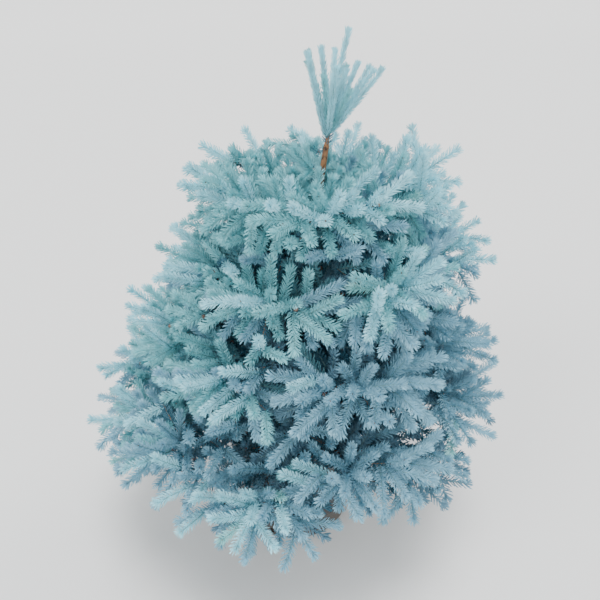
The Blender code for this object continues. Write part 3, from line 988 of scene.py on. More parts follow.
class Room:
    """The space that foliage grows in: every mass's spine, every limb, the pot and the shoots so far."""

    def __init__(self, pot_radius: float, pot_height: float, most_shoots: int = 6000,
                 near: float = 0.40) -> None:
        """Starts with no plant in the space.

        Args:
            pot_radius: The pot's widest radius with the room round it.
            pot_height: The pot's height with the room over it.
            most_shoots: How many shoots it can hold.
            near: How near a shoot's tip must lie for the shoot to matter.
        """
        self.pot = (pot_radius, pot_height)
        self.near = near
        self.spines: list[list[tuple[float, ...]]] = []
        self.owners: list[str] = []
        self.limbs: list[list[tuple[float, ...]]] = []
        self.limb_radii: list[float] = []
        self.taken = np.zeros((most_shoots, 2, 3))
        self.count = 0

    def add_spine(self, owner: str, points: Sequence[Vector]) -> None:
        """Takes the middle line of a mass.

        Args:
            owner: The mass's name.
            points: The line's points.
        """
        for start, end in zip(points, points[1:]):
            self.spines.append([tuple(start), tuple(end)])
            self.owners.append(owner)

    def add_limb(self, points: Sequence[Vector], radii: Sequence[float]) -> None:
        """Takes a limb that no foliage may touch.

        Args:
            points: Its middle line.
            radii: Its radius along each stretch of the line.
        """
        for start, end, radius in zip(points, points[1:], radii):
            self.limbs.append([tuple(start), tuple(end)])
            self.limb_radii.append(radius)

    def settle(self) -> None:
        """Turns the lists into arrays, once all are taken."""
        self.spine_ends = np.array(self.spines)
        self.limb_ends = np.array(self.limbs)
        self.limb_rooms = np.array(self.limb_radii)
        owners = np.array(self.owners)
        self.own = {name: owners == name for name in set(self.owners)}

    def take(self, start: Vector, end: Vector) -> None:
        """Marks a stretch as filled by a shoot."""
        self.taken[self.count] = (tuple(start), tuple(end))
        self.count += 1

    def is_free(self, owner: str | None, centres: np.ndarray, radii: np.ndarray, full: float, apart: float,
                edge_room: float, limb_room: float) -> bool:
        """Tests a body against the space.

        Args:
            owner: The mass whose space it must keep to, or None.
            centres: Points along its middle.
            radii: Its radius at each one.
            full: The radius from which other shoots must keep away.
            apart: How far they must keep away.
            edge_room: Room to the edge of the mass's space.
            limb_room: Room to the limbs.

        Returns:
            True if it fits.
        """
        outer = centres[radii >= full]
        if len(outer):
            taken = self.taken[:self.count]
            near = taken[np.linalg.norm(taken[:, 1] - outer.mean(axis=0), axis=1) < self.near]
            if len(near) and (distances(outer, near) < apart).any():
                return False
        limbs = distances(centres, self.limb_ends)
        if (limbs < self.limb_rooms + radii[:, None] + limb_room).any():
            return False
        around = rims(centres, radii)
        if owner:
            spines = distances(around, self.spine_ends)
            own = self.own[owner]
            if (spines[:, ~own].min(axis=1) - spines[:, own].min(axis=1) < edge_room).any():
                return False
        over_pot = np.hypot(around[:, 0], around[:, 1]) < self.pot[0]
        return not (over_pot & (around[:, 2] < self.pot[1])).any()


@dataclass(frozen=True)
class SideShoots:
    """The small shoots on the youngest stretch of trunk."""

    count: int = 3
    first_turn: float = -46.0
    turn_step: float = 144.0
    turn_scatter: float = 15.0
    rise: float = 36.0
    rise_scatter: float = 4.0
    first_height: float = 1.040
    height_step: float = 0.030
    stem: float = 0.046
    radius: float = 0.0030

    def line(self, trunk: Trunk, index: int) -> list[Vector]:
        """One side shoot's short stem.

        Args:
            trunk: The trunk.
            index: The shoot's number.

        Returns:
            The stem's two ends.
        """
        rng = random.Random(f"side shoot {index}")
        azimuth = math.radians(scattered(rng, self.first_turn + self.turn_step * index, self.turn_scatter))
        rise = math.radians(scattered(rng, self.rise, self.rise_scatter))
        root = trunk.point(self.first_height + self.height_step * index)
        return [root, root + rising_way(azimuth, rise) * self.stem]


@dataclass(frozen=True)
class Leader:
    """The top of the trunk, which carries the ring of steep shoots."""

    stem: float = 0.056
    overlap: float = 0.004
    shares: tuple[float, ...] = (0.0, 0.3, 1.0)
    radius: float = 0.0046

    def line(self, trunk: Trunk) -> list[Vector]:
        """The leader's short stem, which starts inside the trunk's top.

        Args:
            trunk: The trunk.

        Returns:
            The stem's points.
        """
        foot = trunk.point(trunk.top)
        way = (foot - trunk.point(trunk.top - self.stem)).normalized()
        return [foot + way * (self.stem * share - self.overlap) for share in self.shares]


@dataclass(frozen=True)
class Ring:
    """How finer shoots stand round the end of a twig, behind the one that goes straight on."""

    count: int
    spreads: Span
    turn_scatter: float
    set_backs: Span
    lengths: Span
    first_lengths: Span


@dataclass(frozen=True)
class FineTwigs:
    """The finer side twigs along the stems: where they leave it, how they stand and what they carry."""

    shares: tuple[float, ...] = (0.06, 0.25, 0.45, 0.65, 0.86)
    share_scatter: float = 0.06
    sides: tuple[float, ...] = SIDES
    low_sides: tuple[float, ...] = (*SIDES, 270.0)
    spreads: Span = (44.0, 66.0)
    turn_scatter: float = 22.0
    lengths: Span = (0.05, 0.13)
    ring: Ring = Ring(7, spreads=(36.0, 62.0), turn_scatter=14.0, set_backs=(0.004, 0.02),
                      lengths=(0.11, 0.15), first_lengths=(0.12, 0.15))


@dataclass(frozen=True)
class FineShoots:
    """The finer shoots round stars, along wood and beside main shoots."""

    turns: int = 11
    set_backs: Span = (0.004, 0.03)
    wood_first: float = 0.7
    wood_turn_scatter: float = 20.0
    wood_sides: tuple[float, ...] = (0.0, 90.0, 180.0, 270.0)
    wood_spreads: Span = (40.0, 75.0)
    wood_lengths: Span = (0.10, 0.15)
    beside_shares: tuple[float, ...] = (0.16, 0.34)
    beside_sides: tuple[float, ...] = (0.0, 180.0, 90.0, 270.0)
    beside_spreads: Span = (34.0, 52.0)
    beside_turn_scatter: float = 25.0
    beside_lengths: Span = (0.10, 0.13)


@dataclass(frozen=True)
class InnerBranches:
    """The small branches that leave the trunk between its whorls."""

    first_height: float = 0.395
    low_step: float = 0.006
    level_below: float = 0.50
    step: float = 0.0125
    last_height: float = 1.10
    turn_scatter: float = 0.3
    bare_from: float = 0.90
    bare_front: float = 0.30
    low_rises: Span = (-2.0, 12.0)
    low_lengths: Span = (0.10, 0.24)
    rises: Span = (8.0, 38.0)
    lengths: Span = (0.06, 0.22)
    foot_size: float = 1.3
    shorter_upwards: float = 0.6
    short_from: float = 1.02
    short_lengths: Span = (0.012, 0.030)
    short_rises: Span = (24.0, 50.0)
    shares: tuple[float, ...] = (0.0, 0.35, 0.7, 1.0)
    radius: float = 0.0024
    tier_overlap: float = 0.08
    shoot_lengths: Span = (0.11, 0.15)
    bottom: float = 0.372
    top: float = 1.24

    def heights(self) -> list[float]:
        """Where the branches leave the trunk, closer together low down.

        Returns:
            The heights.
        """
        low = np.arange(self.first_height, self.level_below, self.low_step)
        high = np.arange(self.level_below, self.last_height, self.step)
        return np.concatenate((low, high)).tolist()

    def is_bare(self, height: float, azimuth: float) -> bool:
        """Says whether a branch would stand before the bare stretch of the trunk, on its front."""
        return height > self.bare_from and math.cos(azimuth + math.pi / 2) > self.bare_front

    def growth(self, trunk: Trunk, height: float, azimuth: float,
               rng: random.Random) -> tuple[Vector, float]:
        """One branch's direction and length: nearly level low down, and very short near the top.

        Args:
            trunk: The trunk.
            height: Where the branch leaves it.
            azimuth: The side that it grows on, in radians.
            rng: The random source.

        Returns:
            The direction and the length.
        """
        is_low = height < self.level_below
        rise = rng.uniform(*(self.low_rises if is_low else self.rises))
        length = rng.uniform(*(self.low_lengths if is_low else self.lengths))
        if not is_low:
            length *= self.foot_size - self.shorter_upwards * trunk.share(height)
        if height > self.short_from:
            length = rng.uniform(*self.short_lengths)
            rise = rng.uniform(*self.short_rises)
        return rising_way(azimuth, math.radians(rise)), length

    def label(self, height: float) -> str:
        """The tier that a branch at this height belongs to."""
        reached = [whorl for whorl in WHORLS if whorl.height <= height + self.tier_overlap]
        return reached[-1].label if reached else WHORLS[0].label


@dataclass(frozen=True)
class OpenPlaces:
    """The places in the crown that may still be open, and the twigs that fill them."""

    heights: tuple[float, ...] = (0.36, 0.60, 0.78, 0.95, 1.04)
    radii: tuple[float, ...] = (0.46, 0.43, 0.37, 0.28, 0.20)
    count: int = 9000
    inner_share: float = 0.12
    room: float = 0.030
    farthest_root: float = 0.16
    root_shares: tuple[float, ...] = (0.1, 0.3, 0.5, 0.7, 0.9)
    knob_from: int = 3
    ring: Ring = Ring(6, spreads=(36.0, 66.0), turn_scatter=18.0, set_backs=(0.0, 0.015),
                      lengths=(0.10, 0.14), first_lengths=(0.10, 0.14))

    def place(self, trunk: Trunk, number: int, rng: random.Random) -> Vector:
        """One place within the crown's outline, spread evenly round the trunk.

        Args:
            trunk: The trunk.
            number: The place's number.
            rng: The random source.

        Returns:
            The place.
        """
        height = rng.uniform(self.heights[0], self.heights[-1])
        reach = float(np.interp(height, self.heights, self.radii))
        radius = reach * math.sqrt(rng.uniform(self.inner_share, 1.0))
        return trunk.point(height) + level_way(GOLDEN_TURN * number) * radius


@dataclass
class Foliage:
    """The masses of foliage, grown by rule."""

    trunk: Trunk
    room: Room
    edge_room: float = 0.0024
    limb_room: float = 0.001
    cut_backs: tuple[float, ...] = (1.0, 0.86, 0.72)
    crowded: Span = (0.45, 0.95)
    spread_scatter: float = 6.0
    turn_scatter: float = 12.0
    first_length: Span = (0.95, 1.0)
    other_lengths: Span = (0.80, 0.95)
    twig_shares: tuple[float, ...] = (0.0, 0.30, 1.0)
    twig_outline: tuple[float, ...] = (0.0150, 0.0370)
    twig_spread_scatter: float = 5.0
    twig_turn_scatter: float = 10.0
    twig_lengths: Span = (0.9, 1.1)
    single_spread: float = 50.0
    single_turn: float = 90.0
    single_turn_scatter: float = 25.0
    single_share: float = 0.8
    stem_shares: tuple[float, ...] = (0.0, 0.10, 0.32, 0.62, 1.0)
    clearance: float = 0.0003
    fine_crowded: Span = (0.35, 0.97)
    fine_reach: float = -0.004
    upper_reach: float = 0.012
    fine_margin: float = 0.016
    fine_bends: Span = (-0.022, 0.012)
    bare_above: float = 1.0
    bare_room: float = 0.066
    middle_share: float = 0.7
    # open_way, open_cone and open_reach shape the cover estimate behind the painted shade of the needle
    # tones.
    open_way: tuple[float, float] = (0.60, 0.80)
    open_cone: float = 0.35
    open_reach: float = 0.20
    side_shoots: SideShoots = SideShoots()
    leader: Leader = Leader()
    fine_twigs: FineTwigs = FineTwigs()
    fine_shoots: FineShoots = FineShoots()
    inner_branches: InnerBranches = InnerBranches()
    open_places: OpenPlaces = OpenPlaces()
    masses: list[Mass] = field(default_factory=list)
    inner: list[Mass] = field(default_factory=list)

    def plan(self) -> None:
        """Works out every mass's stem, from the lowest whorl to the leader."""
        for whorl in WHORLS:
            for index in range(whorl.count):
                line = whorl.line(self.trunk, index)
                whole = length_of(line)
                start = whorl.bare + self.clearance
                stem = [point_at(line, start + (whole - start) * share) for share in self.stem_shares]
                if not whorl.has_boughs:
                    stem.insert(0, line[0])
                self.masses.append(Mass(f"{whorl.label}_foliage_{index + 1}", whorl.label, stem, line,
                                        whorl.radius, STAR, whorl.twigs, whorl.singles))
        for index in range(self.side_shoots.count):
            stem = self.side_shoots.line(self.trunk, index)
            name = f"side_foliage_{index + 1}"
            self.masses.append(Mass(name, TOP, stem, stem, self.side_shoots.radius, SIDE_STAR))
        stem = self.leader.line(self.trunk)
        self.masses.append(Mass("leader_foliage", TOP, stem, stem, self.leader.radius, LEADER_STAR))

    def fitted(self, mass: Mass, root: Vector, direction: Vector, length: float) -> None:
        """Grows the longest main shoot that keeps to its mass's own space, if any does.

        Args:
            mass: The mass that it belongs to.
            root: Where it starts.
            direction: Where it points.
            length: Its greatest length.
        """
        for cut_back in self.cut_backs:
            shoot = Shoot(root, direction, length * cut_back)
            centres = np.array([tuple(shoot.point(share)) for share in SPRAY.shares])
            if self.room.is_free(mass.name, centres, np.array(SPRAY.radii), SPRAY.full, mass.habit.apart,
                                 self.edge_room, self.limb_room):
                self.room.take(shoot.point(self.crowded[0]), shoot.point(self.crowded[1]))
                mass.shoots.append(shoot)
                return

    def star(self, mass: Mass, centre: Vector, direction: Vector, habit: Habit,
             rng: random.Random) -> None:
        """Grows the main shoots that spread from one point: one straight on and the rest round it.

        Args:
            mass: The mass that they belong to.
            centre: The point.
            direction: The direction of the one that goes straight on.
            habit: How they grow.
            rng: The random source.
        """
        mass.stars.append((centre, direction))
        root = centre - direction * habit.step / 2
        self.fitted(mass, root, direction, habit.length * rng.uniform(*self.first_length))
        for number, turn in enumerate(habit.turns, start=1):
            spread = scattered(rng, habit.spread, self.spread_scatter)
            way = leaning(direction, spread, scattered(rng, turn, self.turn_scatter))
            root = centre - direction * (habit.set_back + habit.step * number)
            self.fitted(mass, root, way, habit.length * rng.uniform(*self.other_lengths))

    def grow_main(self, mass: Mass) -> None:
        """Grows a mass's stars, twigs and single shoots by the model's own rule.

        Args:
            mass: The mass.
        """
        rng = random.Random(f"{mass.name} growth")
        self.star(mass, mass.stem[-1], mass.onwards, mass.habit, rng)
        whole = length_of(mass.stem)
        for pair in mass.twigs:
            root = point_at(mass.stem, pair.share * whole)
            for side in SIDES:
                spread = scattered(rng, pair.spread, self.twig_spread_scatter)
                way = leaning(mass.onwards, spread, scattered(rng, side, self.twig_turn_scatter))
                end = root + way * (pair.length * rng.uniform(*self.twig_lengths))
                line = [root.lerp(end, share) for share in self.twig_shares]
                centres = np.array([tuple(point) for point in line[1:]])
                if self.room.is_free(mass.name, centres, np.array(self.twig_outline), SPRAY.full, 0.0,
                                     self.edge_room, self.limb_room):
                    self.star(mass, end, way, mass.habit.turned(pair.turns), rng)
                    # the model's rule draws the turn of this twig's own needles here
                    rng.uniform(0, math.tau)
                    mass.limbs.append(line)
        for share in mass.singles:
            turn = scattered(rng, self.single_turn, self.single_turn_scatter)
            way = leaning(mass.onwards, self.single_spread, turn)
            root = point_at(mass.stem, share * whole)
            self.fitted(mass, root, way, mass.habit.length * self.single_share)
        for shoot in mass.shoots:
            shoot.roll = rng.uniform(0, math.tau)

    def fill(self, mass: Mass, root: Vector, direction: Vector, length: float,
             rng: random.Random) -> None:
        """Grows a finer shoot where one still fits within the mass's reach.

        Args:
            mass: The mass that it belongs to.
            root: Where it starts.
            direction: Where it points.
            length: Its greatest length.
            rng: The random source.
        """
        bend = rng.uniform(*self.fine_bends)
        roll = rng.uniform(0, math.tau)
        for cut_back in self.cut_backs:
            shoot = Shoot(root, direction, length * cut_back, roll, bend)
            centres = np.array([tuple(shoot.point(share)) for share in FINE.shares])
            far = np.hypot(centres[:, 0], centres[:, 1]).max()
            low, high = centres[:, 2].min(), centres[:, 2].max()
            inside = far < mass.reach and mass.bottom < low and high < mass.top
            inside = inside and (mass.label == TOP or not self.hides_stem(centres))
            if inside and self.room.is_free(None, centres, np.array(FINE.radii), FINE.full,
                                            mass.habit.fine_apart, 0.0, 0.0):
                self.room.take(shoot.point(self.fine_crowded[0]), shoot.point(self.fine_crowded[1]))
                mass.shoots.append(shoot)
                return

    def hides_stem(self, centres: np.ndarray) -> bool:
        """Says whether a shoot would crowd the youngest stretch of the trunk, which stays bare.

        Args:
            centres: Points along the shoot.

        Returns:
            True if it would.
        """
        for centre in centres:
            gap = Vector(centre) - self.trunk.point(float(centre[2]))
            if centre[2] > self.bare_above and math.hypot(gap.x, gap.y) < self.bare_room:
                return True
        return False

    def grow_fine_twigs(self, mass: Mass) -> None:
        """Adds finer side twigs along a mass's stem, each with its own star of shoots.

        Args:
            mass: The mass.
        """
        twigs = self.fine_twigs
        ring = twigs.ring
        rng = random.Random(f"{mass.name} twigs")
        whole = length_of(mass.stem)
        sides = twigs.low_sides if mass.label == WHORLS[0].label else twigs.sides
        for share in twigs.shares:
            for side in sides:
                root = point_at(mass.stem, scattered(rng, share, twigs.share_scatter) * whole)
                spread = rng.uniform(*twigs.spreads)
                way = leaning(mass.onwards, spread, scattered(rng, side, twigs.turn_scatter))
                end = root + way * rng.uniform(*twigs.lengths)
                before = len(mass.shoots)
                self.fill(mass, end, way, rng.uniform(*ring.first_lengths), rng)
                for number in range(ring.count):
                    turn = scattered(rng, 360.0 * number / ring.count, ring.turn_scatter)
                    lean = leaning(way, rng.uniform(*ring.spreads), turn)
                    centre = end - way * rng.uniform(*ring.set_backs)
                    self.fill(mass, centre, lean, rng.uniform(*ring.lengths), rng)
                if len(mass.shoots) > before:
                    mass.limbs.append([root.lerp(end, part) for part in HALVES])
                    mass.stars.append((end, way))

    def grow_fine(self, mass: Mass) -> None:
        """Carries a mass on to finer shoots: round its stars, along its wood and beside its main shoots.

        Args:
            mass: The mass.
        """
        fine = self.fine_shoots
        rng = random.Random(f"{mass.name} finer")
        mains = list(mass.shoots)
        for centre, direction in mass.stars:
            for number in range(fine.turns):
                turn = 360.0 * (number + 0.5) / fine.turns
                for spreads in mass.habit.fine_spreads:
                    root = centre - direction * rng.uniform(*fine.set_backs)
                    way = leaning(direction, rng.uniform(*spreads), turn)
                    self.fill(mass, root, way, rng.uniform(*mass.habit.fine_lengths), rng)
        for line in (mass.stem, *mass.limbs):
            onwards = (line[-1] - line[0]).normalized()
            for number in range(int(length_of(line) / mass.habit.wood_step)):
                root = point_at(line, mass.habit.wood_step * (number + fine.wood_first))
                turn = scattered(rng, math.degrees(GOLDEN_TURN) * number, fine.wood_turn_scatter)
                for extra in fine.wood_sides:
                    way = leaning(onwards, rng.uniform(*fine.wood_spreads), turn + extra)
                    self.fill(mass, root, way, rng.uniform(*fine.wood_lengths), rng)
        for shoot in mains if mass.habit.apart == STAR.apart else ():
            for share in fine.beside_shares:
                for side in fine.beside_sides:
                    spread = rng.uniform(*fine.beside_spreads)
                    way = leaning(shoot.direction, spread, scattered(rng, side, fine.beside_turn_scatter))
                    self.fill(mass, shoot.point(share), way, rng.uniform(*fine.beside_lengths), rng)

    def grow_inner(self) -> None:
        """Grows the small branches that leave the trunk between its whorls."""
        branches = self.inner_branches
        for number, height in enumerate(branches.heights()):
            rng = random.Random(f"inner branch {number}")
            azimuth = scattered(rng, GOLDEN_TURN * number, branches.turn_scatter)
            if branches.is_bare(height, azimuth):
                continue
            way, length = branches.growth(self.trunk, height, azimuth, rng)
            root = self.trunk.point(height)
            stem = [root + way * (length * share) for share in branches.shares]
            label = branches.label(height)
            habit = SIDE_STAR if height > branches.short_from else STAR
            mass = Mass(f"{label}_inner_{number + 1}", label, stem, stem, branches.radius, habit,
                        bottom=branches.bottom, top=branches.top)
            mass.stars.append((stem[-1], way))
            self.fill(mass, stem[-1], way, rng.uniform(*branches.shoot_lengths), rng)
            self.grow_fine(mass)
            if mass.shoots:
                self.inner.append(mass)

    def grow_between(self) -> None:
        """Sends a twig with its own star of shoots into each place in the crown that is still open."""
        places = self.open_places
        ring = places.ring
        rng = random.Random("twigs between tiers")
        roots = [(mass, point_at(mass.stem, length_of(mass.stem) * share)) for mass in self.masses
                 for share in places.root_shares]
        for number in range(places.count):
            place = places.place(self.trunk, number, rng)
            if distances(np.array([tuple(place)]), self.room.taken[:self.room.count]).min() < places.room:
                continue
            mass, root = min(roots, key=lambda pair: (pair[1] - place).length)
            if (root - place).length > places.farthest_root:
                continue
            way = ((place - root).normalized() + mass.onwards).normalized()
            before = len(mass.shoots)
            self.fill(mass, place, way, rng.uniform(*ring.first_lengths), rng)
            for step in range(ring.count):
                spread = rng.uniform(*ring.spreads)
                lean = leaning(way, spread, scattered(rng, 360.0 * step / ring.count, ring.turn_scatter))
                centre = place - way * rng.uniform(*ring.set_backs)
                self.fill(mass, centre, lean, rng.uniform(*ring.lengths), rng)
            grown = len(mass.shoots) - before
            if grown:
                mass.limbs.append([root.lerp(place, part) for part in HALVES])
            if grown >= places.knob_from:
                mass.stars.append((place, way))

    def rank_openness(self) -> None:
        """Ranks the shoots from 0 to 1 by how few others lie above and outside them."""
        # The rank estimates how much shade falls on each shoot; the tone rule turns it into painted light
        # and shade.
        shoots = [shoot for mass in (*self.masses, *self.inner) for shoot in mass.shoots]
        middles = np.array([tuple(shoot.point(self.middle_share)) for shoot in shoots])
        away = middles * (1.0, 1.0, 0.0)
        away /= np.linalg.norm(away, axis=1)[:, None] + TINY
        away = away * self.open_way[0] + np.array((0.0, 0.0, self.open_way[1]))
        cover = np.empty(len(shoots))
        for number, middle in enumerate(middles):
            offset = middles - middle
            far = np.linalg.norm(offset, axis=1) + TINY
            ahead = offset @ away[number] > self.open_cone * far
            cover[number] = np.clip(1.0 - far / self.open_reach, 0.0, 1.0)[ahead].sum()
        for rank, number in enumerate(np.argsort(-cover, kind="stable")):
            shoots[number].openness = rank / len(shoots)

    def grow(self) -> None:
        """Grows all the masses: main shoots, then finer ones, then what fills the crown between them."""
        self.plan()
        for mass in self.masses:
            self.room.add_spine(mass.name, mass.spine)
        self.room.settle()
        for mass in self.masses:
            self.grow_main(mass)
            low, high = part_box(mass.name)
            tips = [shoot.point(1.0) for shoot in mass.shoots]
            mass.reach = max(math.hypot(tip.x, tip.y) for tip in tips)
            mass.reach += self.fine_reach if mass.label == WHORLS[0].label else self.upper_reach
            mass.bottom = low[2] + self.fine_margin
            mass.top = high[2] - self.fine_margin
        main = sum(len(mass.shoots) for mass in self.masses)
        for mass in self.masses:
            if mass.singles:
                self.grow_fine_twigs(mass)
        for mass in self.masses:
            self.grow_fine(mass)
        outer = sum(len(mass.shoots) for mass in self.masses)
        self.grow_inner()
        self.grow_between()
        between = sum(len(mass.shoots) for mass in self.masses) - outer
        self.rank_openness()
        inner = sum(len(mass.shoots) for mass in self.inner)
        LOG.info("shoots: %d main, %d finer, %d inner, %d between tiers",
                 main, outer - main, inner, between)


@dataclass(frozen=True)
class ToneRule:
    """How a shoot's openness and place give its tone.

    It is greener high up and on the left, and bluer low down and on the right. Its light and shade are
    painted: the more other shoots cover a shoot, the darker its tone, and on the right it is also
    lighter high up and darker low down.
    """

    # right_light and light_level paint light on the upper right and shade on the lower right.
    right_light: float = 1.4
    light_level: float = 0.84
    light_scatter: float = 0.05
    silver_from: float = 0.93
    fresh_from: float = 0.60
    fresh_share: float = 0.018
    pale_from: float = 0.52
    middle_from: float = 0.26
    green_from: float = 0.5
    green_upwards: float = 0.7
    green_level: float = 0.80
    green_leftwards: float = 0.45
    green_scatter: float = 0.10
    mass_scatter: float = 0.06

    def tone(self, shoot: Shoot, hue: float, rng: np.random.Generator) -> Tone:
        """Deals a shoot its tone.

        Args:
            shoot: The shoot.
            hue: How much greener than the rest its mass is.
            rng: The random source.

        Returns:
            The tone.
        """
        tip = shoot.point(1.0)
        # openness comes from how many shoots lie above and outside this one, so a low one deals a darker
        # tone: painted shade. The right_light term adds painted light high up on the right and painted shade
        # low down there.
        light = shoot.openness + self.right_light * max(tip.x, 0.0) * (tip.z - self.light_level)
        light += rng.normal(0.0, self.light_scatter)
        green = self.green_from + self.green_upwards * (tip.z - self.green_level)
        green = green - self.green_leftwards * tip.x + hue + rng.normal(0.0, self.green_scatter)
        is_green = green > self.green_from
        if light > self.silver_from:
            return Tone.SILVER
        if light > self.fresh_from and rng.random() < self.fresh_share:
            return Tone.FRESH
        if light > self.pale_from:
            return Tone.PALE_TEAL if is_green else Tone.PALE_BLUE
        if light > self.middle_from:
            return Tone.TEAL if is_green else Tone.BLUE
        return Tone.DEEP


@dataclass(frozen=True)
class Stretch:
    """A stretch of wood to clothe, with how its needles lie.

    first and last are shares of its length, density and size are shares of an open shoot's, and
    closeness is less than 1 where the needles lie closer to the twig. A tip has needles that point
    onwards.
    """

    axis: Axis
    first: float
    density: float
    size: float
    roll: float = 0.0
    last: float = 1.0
    has_tip: bool = False
    closeness: float = 1.0


@dataclass
class NeedleCoat:
    """Clothes wood in needles and deals the tones."""

    rule: ToneRule = ToneRule()
    per_metre: float = 1090.0
    fewest: int = 6
    share_scatter: float = 0.4
    turn_scatter: float = 0.25
    length: float = 0.0240
    length_scatter: Span = (0.90, 1.05)
    half_width: float = 0.00140
    wider_when_fewer: float = 0.42
    lean_first: float = 53.0
    lean_last: float = 46.0
    lean_scatter: float = 11.0
    onwards_from: float = 0.5
    early_length: float = 0.55
    early_stretch: float = 0.25
    tip_needles: int = 24
    tip_from: float = 0.96
    tip_leans: Span = (6.0, 60.0)
    lift: float = 0.12
    densities: dict[Tone, float] = field(default_factory=lambda: {
        Tone.SILVER: 1.0, Tone.PALE_TEAL: 1.0, Tone.PALE_BLUE: 1.0, Tone.FRESH: 1.0, Tone.TEAL: 0.54,
        Tone.BLUE: 0.54, Tone.DEEP: 0.32})
    shoot_first: float = 0.04
    shoot_last: float = 0.87
    closest_size: float = 0.6
    wood_first: float = 0.10
    wood_density: float = 0.80
    wood_size: float = 0.85
    most_per_piece: int = 45000
    baskets: dict[tuple[str, Tone], list[np.ndarray]] = field(default_factory=lambda: defaultdict(list))

    def __post_init__(self) -> None:
        """Makes the needle that all the others copy."""
        self.template = Template.needle()

    def leans(self, stretch: Stretch, shares: np.ndarray, rng: np.random.Generator) -> np.ndarray:
        """How far the needles along a stretch lean from it, in degrees.

        Args:
            stretch: The stretch.
            shares: The needles' places, as shares of its length.
            rng: The random source.

        Returns:
            The angles.
        """
        onwards = np.zeros(len(shares))
        if stretch.has_tip:
            onwards = np.clip((shares - self.onwards_from) / (1.0 - self.onwards_from), 0.0, 1.0)
        lean = self.lean_first + (self.lean_last - self.lean_first) * onwards
        return lean + rng.uniform(-self.lean_scatter, self.lean_scatter, len(shares))

    def clothe(self, label: str, tone: Tone, stretch: Stretch, rng: np.random.Generator) -> None:
        """Sets needles in a spiral round a stretch of wood.

        Args:
            label: The tier that they belong to.
            tone: Their tone.
            stretch: The wood, and how its needles lie.
            rng: The random source.
        """
        first, last, density = stretch.first, stretch.last, stretch.density
        count = max(int(stretch.axis.length * (last - first) * self.per_metre * density), self.fewest)
        steps = np.arange(count) + rng.uniform(-self.share_scatter, self.share_scatter, count)
        shares = first + (last - first) * steps / count
        lean = self.leans(stretch, shares, rng)
        if stretch.has_tip:
            last_ones = int(self.tip_needles * density ** 0.5)
            shares = np.concatenate((shares, rng.uniform(self.tip_from, 1.0, last_ones)))
            lean = np.concatenate((lean, rng.uniform(*self.tip_leans, last_ones)))
            count += last_ones
        lean = np.radians(lean * stretch.closeness)
        shares = np.clip(shares, 0.0, 1.0)
        place, along, side, up = stretch.axis.at(shares)
        turn = stretch.roll + np.arange(count) * GOLDEN_TURN
        turn = turn + rng.uniform(-self.turn_scatter, self.turn_scatter, count)
        outward = side * np.cos(turn)[:, None] + up * np.sin(turn)[:, None]
        way = along * np.cos(lean)[:, None] + outward * np.sin(lean)[:, None]
        way[:, 2] += self.lift
        way /= np.linalg.norm(way, axis=1)[:, None]
        early = np.clip(self.early_length + shares / self.early_stretch, self.early_length, 1.0)
        early = early if stretch.has_tip else 1.0
        length = self.length * stretch.size * early * rng.uniform(*self.length_scatter, count)
        across = np.cross(outward, way)
        across /= np.linalg.norm(across, axis=1)[:, None]
        over = np.cross(way, across)
        half_width = self.half_width * density ** -self.wider_when_fewer
        points = self.template.points
        places = (place[:, None] + way[:, None] * (length[:, None] * points[:, 2])[..., None]
                  + across[:, None] * (half_width * points[:, 0])[None, :, None]
                  + over[:, None] * (half_width * points[:, 1])[None, :, None])
        self.baskets[label, tone].append(places)

    def dress(self, mass: Mass) -> None:
        """Clothes one mass's wood in deep needles, and each of its shoots in its own tone.

        Args:
            mass: The mass.
        """
        seed = sum(ord(letter) * place for place, letter in enumerate(mass.name, start=1))
        rng = np.random.default_rng(seed)
        hue = rng.normal(0.0, self.rule.mass_scatter)
        # Needles on stems and limbs always take the DEEP tone: painted shade inside the crown, partly also
        # the darker colour of older needles.
        for line in (mass.stem, *mass.limbs):
            wood = Stretch(Axis(line), self.wood_first, self.wood_density, self.wood_size)
            self.clothe(mass.label, Tone.DEEP, wood, rng)
        closeness = mass.habit.closeness
        size = self.closest_size + (1.0 - self.closest_size) * closeness
        for shoot in mass.shoots:
            # Each shoot's tone carries painted light and shade by how much other shoots cover it.
            tone = self.rule.tone(shoot, hue, rng)
            twig = Stretch(Axis(shoot.line(self.shoot_last)), self.shoot_first, self.densities[tone], size,
                           shoot.roll, has_tip=True, closeness=closeness)
            self.clothe(mass.label, tone, twig, rng)

    def build(self, nodes: dict[str, list[str]]) -> None:
        """Joins the needles into pieces, one or more for each tier and tone.

        Args:
            nodes: The model's nodes that each tier replaces.
        """
        for label, tone in sorted(self.baskets, key=lambda pair: (pair[0], pair[1].name)):
            places = np.concatenate(self.baskets[label, tone])
            parts = math.ceil(len(places) / self.most_per_piece)
            for number, part in enumerate(np.array_split(places, parts), start=1):
                name = f"{label}_{tone.value.name}_{number}"
                put(name, self.template.joined(name, part, False), tone, nodes[label])


